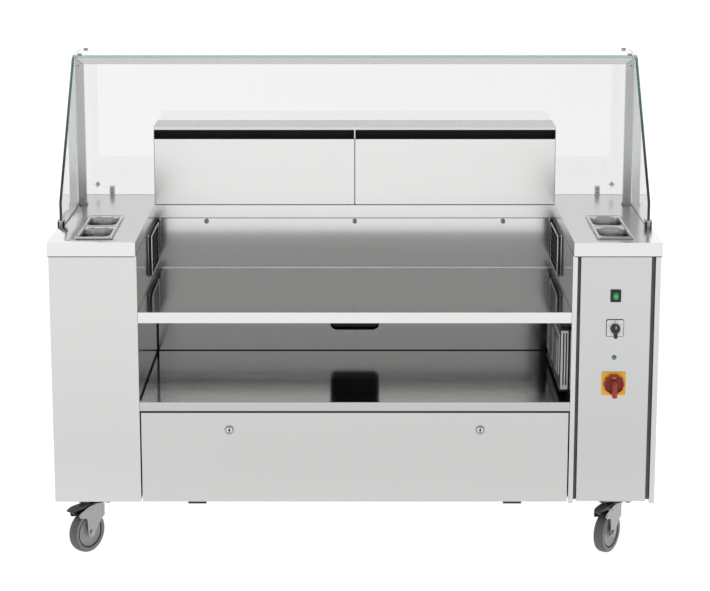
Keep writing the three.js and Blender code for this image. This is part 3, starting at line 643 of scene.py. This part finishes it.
p = Piece("fan_switch_face", "chassis", "white_plastic", ["fan_switch_plate"])
p.put(b_loft([ring(51.5, 51.5, 4.5, 0.4), ring(51.5, 51.5, 4.5, 3.0), ring(50.4, 50.4, 4.0, 4.0), ring(49.0, 49.0, 3.6, 4.2), ring(48.2, 48.2, 3.2, 3.8), ring(10, 10, 4.5, 3.8)]), m_black, K @ T(0, zf, 0))
p.put(b_loft([ring(48.0, 48.0, 3.2, 3.0), ring(48.0, 48.0, 3.2, 3.9), ring(47.4, 47.4, 3.0, 4.2), ring(9.2, 9.2, 4.5, 4.2)], caps=True), m_white, K @ T(0, zf, 0))
for a in (-60, 0, 60):
    p.put(b_box(-0.6, 0.6, 18.5, 22.0, 4.0, 4.4, 0.1, 1), m_black, K @ T(0, zf, 0) @ R(a, "Z"))
p.put(b_lathe([(0, -33), (4.6, -33), (4.6, 1.0), (0, 1.0)], 24), m_black, K @ T(0, zf, 0))
p.make(35)
p = Piece("fan_knob", "fan_knob", "black_plastic", ["fan_switch_knob"])
p.put(b_lathe([(0, 5.0), (14.2, 5.0), (14.5, 6.0), (14.3, 14.0), (13.4, 19.5), (11.4, 22.0), (8.0, 22.9), (0, 23.1)], 48), m_black, K @ T(0, zf, 0))
lever = fillet([(-5.6, -26.5), (5.6, -26.5), (5.0, -8), (4.6, 12.5), (-4.6, 12.5), (-5.0, -8)], [4, 4, 3, 3, 3, 3], 4)
p.put(b_prism(lever, 9.0, 28.6, 2.2, 3), m_black, K @ T(0, zf, 0))
p.put(b_box(-0.9, 0.9, 3.0, 11.5, 28.2, 28.9, 0.2, 2), m_white, K @ T(0, zf, 0))
p.put(b_lathe([(0, -20), (2.9, -20), (2.9, 6), (0, 6)], 20), m_bolt, K @ T(0, zf, 0))
p.make(35)

m_teal = glow("green_lens_pilot", (cx / 1000, (face - 5 - CY) / 1000, zl / 1000), (0.030, 0.34, 0.24), (0.006, 0.150, 0.100), 0.0060, 0.12)
p = Piece("pilot_light", "chassis", "green_lens", ["pilot_lamp"])
p.put(b_lathe([(5.0, 0.4), (6.9, 0.4), (7.0, 1.6), (6.5, 2.6), (5.4, 2.8), (4.9, 2.4)], 40, closed=True), m_teal, K @ T(0, zl, 0))
p.put(b_lathe([(0, 0.6), (5.3, 0.6), (5.3, 3.0), (4.9, 4.2), (3.8, 5.3), (2.0, 5.9), (0, 6.1)], 40), m_teal, K @ T(0, zl, 0))
p.put(b_lathe([(0, -16), (4.5, -16), (4.5, 0.5), (0, 0.5)], 24), m_black, K @ T(0, zl, 0))
p.make(35)

p = Piece("main_switch_face", "chassis", "yellow_plastic", ["main_switch_plate"])
p.put(b_loft([ring(70, 70, 3.4, 0.4), ring(70, 70, 3.4, 3.6), ring(69.2, 69.2, 3.2, 4.6), ring(67.6, 67.6, 2.8, 5.2), ring(13, 13, 6, 5.2)]), m_yellow, K @ T(0, zm, 0))
p.put(b_lathe([(0, -50), (6.5, -50), (6.5, 1.0), (0, 1.0)], 24), m_black, K @ T(0, zm, 0))
p.make(35)
p = Piece("main_knob", "main_knob", "red_plastic", ["main_switch_knob"])


def scallop(r, depth, z, n=96, lobes=10):
    return [((r - depth * (0.5 - 0.5 * math.cos(lobes * 2 * math.pi * i / n)) ** 1.4) * math.cos(2 * math.pi * i / n), (r - depth * (0.5 - 0.5 * math.cos(lobes * 2 * math.pi * i / n)) ** 1.4) * math.sin(2 * math.pi * i / n), z) for i in range(n)]


p.put(b_loft([scallop(30.2, 2.2, 6.0), scallop(31.0, 2.6, 7.2), scallop(31.0, 2.6, 14.0), scallop(30.2, 2.4, 16.6), scallop(28.6, 1.6, 18.0), scallop(26.2, 0.4, 18.2), scallop(25.0, 0, 17.2), scallop(24.0, 0, 13.6)]), m_red, K @ T(0, zm, 0))
# painted shade: darker red disc in the knob's recess
p.put(b_lathe([(0, 13.2), (23.9, 13.2), (23.9, 13.9), (0, 13.9)], 64), m_red_shade, K @ T(0, zm, 0))
reach = face - lo("main_switch_knob").y
grip = fillet([(-7.6, -36), (7.6, -36), (7.0, -14), (6.2, 14), (-6.2, 14), (-7.0, -14)], [5, 5, 4, 4, 4, 4], 4)
p.put(b_prism(grip, 13.0, reach - 4.0, 3.0, 3), m_red, K @ T(0, zm, 0))
p.put(b_prism(fillet([(-5.2, -31), (5.2, -31), (4.6, 9), (-4.6, 9)], 3.5, 4), reach - 5.0, reach, 2.0, 3), m_red, K @ T(0, zm, 0))
for dx in (-3.2, 3.2):
    p.put(b_box(dx - 2.0, dx + 2.0, 17.4, 21.6, 13.6, 14.5, 0.3, 2), m_yellow, K @ T(0, zm, 0))
p.put(b_lathe([(0, 0.0), (3.6, 0.0), (3.6, reach - 1.0), (0, reach - 1.0)], 12), m_red, K @ T(0, zm, 0) @ T(0, -6, 0))
p.put(b_lathe([(0, -38), (3.9, -38), (3.9, 7), (0, 7)], 20), m_bolt, K @ T(0, zm, 0))
p.make(35)

# ------------------------------------------------------------------ quarter-turn locks of the service panel
for side in ("left", "right"):
    node = "panel_lock_" + side
    c = mid(node)
    y0 = lo("service_panel").y
    zc = lo(node).z + 14 if False else mid(node).z
    zc = (hi(node).z - 36 + lo(node).z + 14) / 2
    L = T(c.x, y0, zc) @ FRONT
    p = Piece("lock_%s_head" % side, "lock_" + side, "zinc_plated", [node])
    p.put(b_lathe([(4.6, 0.4), (13.6, 0.4), (14.0, 1.2), (13.5, 2.7), (12.2, 3.6), (10.4, 3.7), (9.8, 3.2), (9.4, 1.6), (4.6, 1.4)], 56, closed=True), m_bolt, L)
    p.put(b_lathe([(0, -11), (5.9, -11), (5.9, 1.0), (8.6, 1.2), (8.8, 2.4), (8.0, 3.1), (3.6, 3.2), (3.4, 2.2), (0, 2.2)], 40), m_bright, L)
    # painted shade: near-black slot and centre on the lock head
    p.put(b_box(-1.3, 1.3, -8.0, 8.0, 2.9, 3.3, 0.3, 1), m_shade, L)
    p.put(b_lathe([(0, 2.3), (3.3, 2.3), (3.3, 2.6), (0, 2.6)], 24), m_shade, L)
    cam_arm = fillet([(-7, -7), (7, -7), (7, 24), (5, 36), (-5, 36), (-7, 24)], [4, 4, 3, 3, 3, 3], 4)
    p.put(b_prism(cam_arm, -11, -8.2, 0.5, 1), m_zinc, L)
    p.put(b_prism(circle(8.5, 6), -12.0, -10.6, 0.3, 1), m_bolt, L)
    p.make(35)

# ------------------------------------------------------------------ socket strip, gland
n = "socket_strip"
x1, x0 = hi(n).x, lo(n).x
y0, y1, z0, z1 = lo(n).y, hi(n).y, lo(n).z, hi(n).z
SX = T(x1, 0, 0) @ Matrix(((0, 0, -1, 0), (1, 0, 0, 0), (0, 1, 0, 0), (0, 0, 0, 1)))  # local (depth y, up z, out of the wall)
p = Piece("socket_units", "chassis", "grey_plastic", [n])
d1, d2 = 25.5, x1 - x0
p.put(b_prism(rounded(y1 - y0, z1 - z0, 10, 5, (y0 + y1) / 2, (z0 + z1) / 2), 0.2, d1, 2.0, 3), m_black, SX)
p.put(b_prism(rounded(y1 - y0 - 18, z1 - z0 - 18, 6, 5, (y0 + y1) / 2, (z0 + z1) / 2), d1 - 0.5, d1 + 1.0, 0.6, 2), m_black, SX)
p.put(b_box(y0 - 0.8, y0 + 2.0, z0 + 9, z1 - 9, 3.0, d1 - 1.0, 0.6, 2), m_lid, SX)
# painted shade: near-black slots in the lid's edge
for q in (6.5, 14.5):
    p.put(b_box(y0 - 1.1, y0 + 1.0, z0 + 22, z1 - 16, q, q + 4.0, 0.3, 1), m_shade, SX)
zc = (z0 + z1) / 2 + 10
for i in range(3):
    yc = y0 + 80 + 135 * i
    p.put(b_prism(rounded(118, 130, 12, 5, yc, zc), d1 - 1, d2 - 3.5, 2.2, 3), m_lid, SX)
    p.put(b_prism(rounded(106, 114, 9, 5, yc, zc - 3), d2 - 4.5, d2 - 1.4, 1.0, 3), m_black, SX)
    p.put(b_prism(rounded(30, 96, 5, 5, yc - 32, zc - 4), d2 - 2.4, d2 - 0.6, 0.5, 2), m_lid, SX)
    for k in range(4):
        p.put(b_box(yc - 10 + 16 * k - 5.0, yc - 10 + 16 * k + 5.0, zc - 50, zc + 42, d2 - 2.0, d2 - 0.5, 0.5, 2), m_grey, SX)
    p.put(b_prism(fillet([(yc - 40, zc - 64), (yc + 40, zc - 64), (yc + 52, zc - 44), (yc - 52, zc - 44)], 8, 4), d1 + 0.4, d2 - 0.8, 2.0, 3), m_lid, SX)
    for dy in (-36, 36):
        p.put(b_box(yc + dy - 5, yc + dy + 5, zc + 46, zc + 60, d2 - 5, d2 - 0.5, 1.5, 2), m_grey, SX)
    for sy in (-1, 1):
        screw(p, SX @ T(yc + sy * 58.5, z0 + 12, d1 + 0.8), 3.6, 2.0, m_bolt)
p.make(35)
n = "cable_gland"
c = mid(n)
gz = (lo(n).z + hi(n).z) / 2
G = T(c.x, hi("rear_panel").y, gz) @ R(-90, "X")  # local z to the rear
p = Piece("gland", "chassis", "black_plastic", [n])
p.put(b_prism(circle(17, 6), 0.4, 6.0, 0.8, 2), m_black, G)
p.put(b_lathe([(6.5, 5.5), (13.5, 5.5), (13.8, 8), (13.0, 13.5), (10.8, 16.4), (7.6, 17.0), (6.2, 16.0), (6.2, 10.0), (0, 9.8), (0, 5.5)], 40), m_black, G)
for k in range(12):
    p.put(b_box(12.6, 14.0, -1.0, 1.0, 6.4, 13.0, 0.3, 1), m_black, G @ R(30 * k, "Z"))
p.put(b_lathe([(0, -11.5), (11.5, -11.5), (11.5, 1.0), (0, 1.0)], 32), m_black, G)
p.make(35)

# ------------------------------------------------------------------ glass fittings
tz, gt = hi("worktop").z, lo("top_glass").z
for side, s in (("left", -1), ("right", 1)):
    n = side + "_glass_clamp"
    a, b = lo(n), hi(n)
    gx0, gx1 = lo(side + "_side_glass").x, hi(side + "_side_glass").x
    p = Piece("pane_clamp_" + side, "chassis", "aluminium_section", [n])
    for xa, xb in ((a.x, gx0 - 0.4), (gx1 + 0.4, b.x)):
        out = fillet([(a.y, tz + 0.4), (b.y, tz + 0.4), (b.y, tz + 18), (b.y - 6, b.z), (a.y + 2, b.z), (a.y, b.z - 3)], [1, 1, 4, 4, 2, 2], 3)
        p.put(b_prism(out, xa, xb, 0.9, 2), m_alu, Matrix(((0, 0, 1, 0), (1, 0, 0, 0), (0, 1, 0, 0), (0, 0, 0, 1))))
    p.put(b_box(a.x, b.x, a.y, lo(side + "_side_glass").y - 0.4, tz + 0.4, b.z - 0.5, 0.9, 2), m_alu)
    inner = a.x if s > 0 else b.x
    screw(p, T(inner, (a.y + b.y) / 2 + 2, tz + 12) @ R(-90 * s, "Y"), 4.2, 2.4)
    p.make(35)

    # foot clamps of the rear pane
    rg0, rg1 = lo("rear_glass").y, hi("rear_glass").y
    p = Piece("rear_pane_clamp_" + side, "chassis", "aluminium_section")
    X = s * 786
    for ya, yb in ((rg0 - 6.5, rg0 - 0.4), (rg1 + 0.4, rg1 + 6.0)):
        p.put(b_box(X - 8, X + 8, ya, yb, tz + 0.3, tz + 29, 1.4, 3), m_bright)
    for z in (tz + 9, tz + 20):
        screw(p, T(X, rg0 - 6.4, z) @ FRONT, 3.4, 1.6)
    p.make(35)
    # round through fittings near the corners of the rear pane
    p = Piece("rear_pane_fitting_" + side, "chassis", "zinc_plated")
    F = T(s * 833, rg0 - 0.4, tz + 34) @ FRONT
    p.put(b_lathe([(4.6, 0), (7.0, 0), (7.3, 1.2), (6.7, 2.4), (5.4, 2.6), (4.6, 1.8)], 40, closed=True), m_bright, F)
    p.put(b_lathe([(0, 0.2), (4.5, 0.2), (4.5, 0.9), (0, 0.9)], 24), m_white, F)
    for k in range(4):
        p.put(b_box(9.8, 12.4, -0.8, 0.8, 0, 0.8, 0.3, 1), m_bright, F @ R(90 * k, "Z"))
    p.put(b_lathe([(0, 0), (7.0, 0), (6.8, 2.2), (0, 2.6)], 40), m_bright, T(s * 833, rg1 + 0.4, tz + 34) @ R(-90, "X"))
    p.make(35)
    # caps that hold the top pane on the post and on the rear pane
    p = Piece("top_pane_caps_" + side, "chassis", "zinc_plated")
    th = hi("top_glass").z
    for x, y in ((s * 858, mid(side + "_post").y), (s * 858, hi("top_glass").y - 48)):
        p.put(b_lathe([(0, th + 0.3), (7.4, th + 0.3), (7.8, th + 1.4), (7.2, th + 4.0), (5.6, th + 4.8), (0, th + 4.9)], 32), m_bolt, T(x, y, 0))
    # a set screw in the mitre, under the top pane beside the post
    q = mid(side + "_post")
    screw(p, T(s * 862, lo(side + "_post").y - 0.3, gt - 26) @ FRONT, 3.4, 1.4)
    p.make(35)
    # post foot with its flange
    p = Piece("post_foot_" + side, "chassis", "zinc_plated")
    a, b = lo(side + "_post"), hi(side + "_post")
    for xa, xb, ya, yb in ((a.x - 3, b.x + (3 if s < 0 else 0.2), a.y - 3.2, a.y - 0.4), (a.x - 3, b.x + (3 if s < 0 else 0.2), b.y + 0.4, b.y + 3.2)):
        p.put(b_box(max(xa, -872.6), min(xb, 872.6), ya, yb, tz + 0.4, tz + 5.4, 0.8, 2), m_zinc)
    xi = b.x if s < 0 else a.x
    p.put(b_box(xi + (0.4 if s < 0 else -3.2), xi + (3.2 if s < 0 else -0.4), a.y - 3.2, b.y + 3.2, tz + 0.4, tz + 5.4, 0.8, 2), m_zinc)
    p.make(35)

# ------------------------------------------------------------------ suction slots: near-black liners of painted shade behind the gap above each cover
s0, s1 = hi("hood_cover_left").z, hi("hood_housing").z
fy = lo("grease_filter_left").y
for side, xa, xb in (("left", lo("hood_housing").x + 3, -3.5), ("right", 3.5, hi("hood_housing").x - 3)):
    p = Piece("slot_shade_liner_" + side, "chassis", "black_plastic")
    yb_ = fy - 1.5
    p.put(b_box(xa, xb, yb_ - 2, yb_, s0 - 10, s1 - 2.6, 0.4, 1), m_shade)
    p.put(b_box(xa, xb, lo("hood_cover_left").y + 14, yb_ - 2.2, s1 - 4.2, s1 - 2.6, 0.3, 1), m_shade)
    p.put(b_box(xa, xb, lo("hood_cover_left").y + 16, yb_ - 2.2, s0 - 10, s0 - 8.5, 0.3, 1), m_shade)
    p.make(35)

# ------------------------------------------------------------------ dark seals in the seams beside the control panel
cp0, cp1 = lo("control_panel"), hi("control_panel")
p = Piece("seam_seals", "chassis", "black_plastic")
for xa, xb in ((cp0.x - 9.4, cp0.x - 0.5), (cp1.x + 0.5, cp1.x + 11.5)):
    p.put(b_box(xa, xb, cp0.y + 14.5, cp0.y + 22.0, cp0.z + 1, cp1.z - 1, 0.8, 2), m_seal)
p.make(35)

# ------------------------------------------------------------------ painted shadow: near-black strips in the gap under the worktop's folded edge and the bridge fascia
wl = lo("worktop").z
p = Piece("worktop_shadow_strip", "chassis", "black_plastic")
CUTX = -hi("left_inner_panel").x
for xa, xb, ya, yb in ((-886.5, -636.6, 0.7, 2.8), (636.6, 886.5, 0.7, 2.8), (-889.2, -887.2, 2.5, 829.0), (887.2, 889.2, 2.5, 829.0), (-630, 630, 622.4, 624.4)):
    p.put(b_box(xa, xb, ya, yb, wl - 2.6, wl - 0.3, 0.3, 1), m_shade)
p.make(35)
p = Piece("upper_shelf_joint", "chassis", "polished_pan")
sy, sz = hi("upper_shelf").y, hi("upper_shelf").z
p.put(b_prism(fillet([(sy - 4.5, sz + 0.2), (sy + 0.1, sz + 0.2), (sy + 0.1, sz + 4.6)], [0.4, 0.4, 0.4], 3), -631, 631, 0.2, 1), m_bright, Matrix(((0, 0, 1, 0), (1, 0, 0, 0), (0, 1, 0, 0), (0, 0, 0, 1))))
p.make(35)
# painted shade: near-black strips in the corners where the lower shelf meets the back and side walls
p = Piece("lower_shelf_joint_shade", "chassis", "black_plastic")
sy, sz = hi("lower_shelf").y, hi("lower_shelf").z
p.put(b_prism(fillet([(sy - 2.4, sz + 0.2), (sy + 0.1, sz + 0.2), (sy + 0.1, sz + 2.6)], [0.4, 0.4, 0.4], 3), -631, 631, 0.2, 1), m_shade, Matrix(((0, 0, 1, 0), (1, 0, 0, 0), (0, 1, 0, 0), (0, 0, 0, 1))))
for s in (-1, 1):
    xa, xb = sorted((s * 631.2, s * 628.4))
    p.put(b_box(xa, xb, sy - 2.8, sy - 0.2, sz + 0.4, lo("upper_shelf").z - 1.0, 0.4, 1), m_shade)
    p.put(b_box(xa, xb, lo("lower_shelf").y + 30, sy - 0.4, sz + 0.2, sz + 2.4, 0.4, 1), m_shade)
p.make(35)

# ------------------------------------------------------------------ painted shade: a black open box with a near-black back behind the cable pass of the bay's back wall
p = Piece("cable_pass_shade_box", "chassis", "black_plastic")
bx, bz0, bz1 = 82.0, 533.0, 707.0
by = hi("bay_back_panel").y + 0.6
p.put(b_loft([ring(2 * bx, bz1 - bz0, 24, 0.0, 6), ring(2 * bx, bz1 - bz0, 24, 55.0, 6), ring(2 * bx - 20, bz1 - bz0 - 20, 18, 60.0, 6), ring(2 * bx - 22, bz1 - bz0 - 22, 17, 58.0, 6), ring(2 * bx - 4, bz1 - bz0 - 4, 22, 54.0, 6), ring(2 * bx - 4, bz1 - bz0 - 4, 22, 0.0, 6)], caps=False, closed=True), m_black, T(0, by, (bz0 + bz1) / 2) @ R(-90, "X") @ R(0, "Z"))
p.put(b_prism(rounded(2 * bx - 22.5, bz1 - bz0 - 22.5, 17, 6), 57.0, 59.5, 0.4, 1), m_shade, T(0, by, (bz0 + bz1) / 2) @ R(-90, "X"))
p.make(35)

# ------------------------------------------------------------------ framed air intakes on the pedestals' inner walls
for side, s in (("left", -1), ("right", 1)):
    p = Piece("air_intake_" + side, "chassis", "brushed_sheet")
    M = T(s * 630.2, 0, 0) @ Matrix(((0, 0, -s, 0), (1, 0, 0, 0), (0, 1, 0, 0), (0, 0, 0, 1)))  # local (depth, up, into the bay)
    yc, zc = 499, 831.5
    p.put(b_loft([ring(246, 137, 9, 0.2, 5, yc, zc), ring(246, 137, 9, 1.2, 5, yc, zc), ring(240, 131, 9, 1.8, 5, yc, zc), ring(238, 129, 9, 1.8, 5, yc, zc), ring(238, 129, 9, 0.2, 5, yc, zc)], caps=False, closed=True), m_black, M)
    # painted shade: near-black walls and back plate stand for the dark inside of the intake behind its louvres
    p.put(b_loft([ring(237, 128, 9, 0.3, 5, yc, zc), ring(236, 127, 9, 7.6, 5, yc, zc), ring(225, 116, 6, 7.6, 5, yc, zc), ring(224, 115, 6, 0.3, 5, yc, zc)], caps=False, closed=True), m_shade, M)
    p.put(b_loft([ring(236.6, 127.6, 9, 7.8, 5, yc, zc), ring(236.6, 127.6, 9, 9.4, 5, yc, zc), ring(235.4, 126.4, 8.6, 10.0, 5, yc, zc), ring(226.6, 117.6, 6, 10.0, 5, yc, zc), ring(225.4, 116.4, 6, 9.4, 5, yc, zc), ring(225.4, 116.4, 6, 7.8, 5, yc, zc)], caps=False, closed=True), m_inner, M)
    p.put(b_prism(rounded(221, 112, 6, 5, yc, zc), 2.2, 3.2, 0.2, 1), m_shade, M)
    for k in range(6):
        z = zc - 45 + 18 * k
        p.put(b_prism([(z - 6, 3.4), (z + 6, 7.8), (z + 7.2, 6.9), (z - 4.8, 2.7)], yc - 109, yc + 109, 0.2, 1), m_black, M @ Matrix(((0, 0, 1, 0), (1, 0, 0, 0), (0, 1, 0, 0), (0, 0, 0, 1))))
    for y in (yc - 115, yc + 115):
        for z in (zc - 60.5, zc + 60.5):
            screw(p, M @ T(y, z, 1.2), 3.2, 1.8)
    p.make(35)

# ------------------------------------------------------------------ fasteners of the walls
p = Piece("bay_wall_screws", "chassis", "zinc_plated")
byy = lo("bay_back_panel").y
for x in (-470, 0, 470):
    p.put(b_lathe([(0, 0), (7.5, 0), (7.5, 0.6), (6.6, 1.0), (0, 1.0)], 32), m_zinc, T(x, byy - 0.2, hi("bay_back_panel").z - 14.5) @ FRONT)
    screw(p, T(x, byy - 1.0, hi("bay_back_panel").z - 14.5) @ FRONT, 5.6, 2.8)
p.make(35)
p = Piece("rear_wall_screws", "chassis", "zinc_plated")
ry, rz0, rz1 = hi("rear_panel").y, lo("rear_panel").z, hi("rear_panel").z
for x in (-600, -300, 0, 300, 600):
    for z in (rz0 + 18, rz1 - 18):
        screw(p, T(x, ry + 0.1, z) @ R(-90, "X"), 4.4, 2.2)
for z in (350, 550, 730):
    for x in (-600, 600):
        screw(p, T(x, ry + 0.1, z) @ R(-90, "X"), 4.4, 2.2)
p.make(35)

# ------------------------------------------------------------------ studio: pale floor, even sky, one broad soft light
bpy.ops.mesh.primitive_plane_add(size=160, location=(0, 20, -0.0006))
floor = bpy.context.object
floor.name = "studio_floor"
m, nt, b = new_mat("studio_floor")
b.inputs["Base Color"].default_value = (0.22, 0.22, 0.22, 1)
b.inputs["Roughness"].default_value = 0.9
b.inputs["Specular IOR Level"].default_value = 0.0
b.inputs["Emission Color"].default_value = (1, 1, 1, 1)
sp = nt.nodes.new("ShaderNodeSeparateXYZ")
tc = nt.nodes.new("ShaderNodeTexCoord")
nt.links.new(tc.outputs["Object"], sp.inputs["Vector"])
ramp = nt.nodes.new("ShaderNodeValToRGB")  # the light pool, from well in front of the trolley (0) to its front edge (1)
ramp.color_ramp.interpolation = "EASE"
for i, (t, v) in enumerate(((0.0, 1.0), (0.36, 0.99), (0.62, 0.86), (0.80, 0.78), (0.90, 0.905), (1.0, 0.905))):
    e = ramp.color_ramp.elements[i] if i < 2 else ramp.color_ramp.elements.new(t)
    e.position = t
    e.color = (v, v, v, 1)
nt.links.new(remap(nt, sp.outputs["Y"], 0.0, 1.0, -27.0, -20.0), ramp.inputs["Fac"])
pool = math_node(nt, "MULTIPLY", ramp.outputs["Color"], 1.03)
# painted light: the floor's own glow sets its brightness, in a light pool along its depth and slightly dimmer to the
# right
side = remap(nt, sp.outputs["X"], 1.02, 0.97, -2.0, 2.5)
nt.links.new(math_node(nt, "MULTIPLY", pool, side), b.inputs["Emission Strength"])
floor.data.materials.append(m)

# the sky is bright behind and above the trolley and dim behind the operator, as in a photographer's cove
w = bpy.data.worlds.new("studio")
SC.world = w
w.use_nodes = True
nt = w.node_tree
bg = nt.nodes["Background"]
tc = nt.nodes.new("ShaderNodeTexCoord")
sp = nt.nodes.new("ShaderNodeSeparateXYZ")
nt.links.new(tc.outputs["Generated"], sp.inputs["Vector"])
sky = remap(nt, sp.outputs["Y"], 0.46, 1.18, -0.45, 0.30)
lp = nt.nodes.new("ShaderNodeLightPath")
seen = math_node(nt, "MAXIMUM", lp.outputs["Is Camera Ray"], lp.outputs["Is Transmission Ray"])
mx = nt.nodes.new("ShaderNodeMix")
nt.links.new(seen, mx.inputs[0])
nt.links.new(sky, mx.inputs[2])
mx.inputs[3].default_value = 1.04
bg.inputs["Color"].default_value = (1, 1, 1, 1)
nt.links.new(mx.outputs[0], bg.inputs["Strength"])

light = bpy.data.objects.new("key", bpy.data.lights.new("key", "AREA"))
light.data.shape = "RECTANGLE"
light.data.size, light.data.size_y = 4.0, 2.0
light.data.energy = 25
light.location = (-2.2, -3.5, 4.6)
light.rotation_euler = (Vector((0, 0, 0.6)) - light.location).to_track_quat("-Z", "Y").to_euler()
SC.collection.objects.link(light)

SC.view_settings.view_transform = "Standard"
SC.view_settings.look = "None"
SC.view_settings.exposure = 0.0
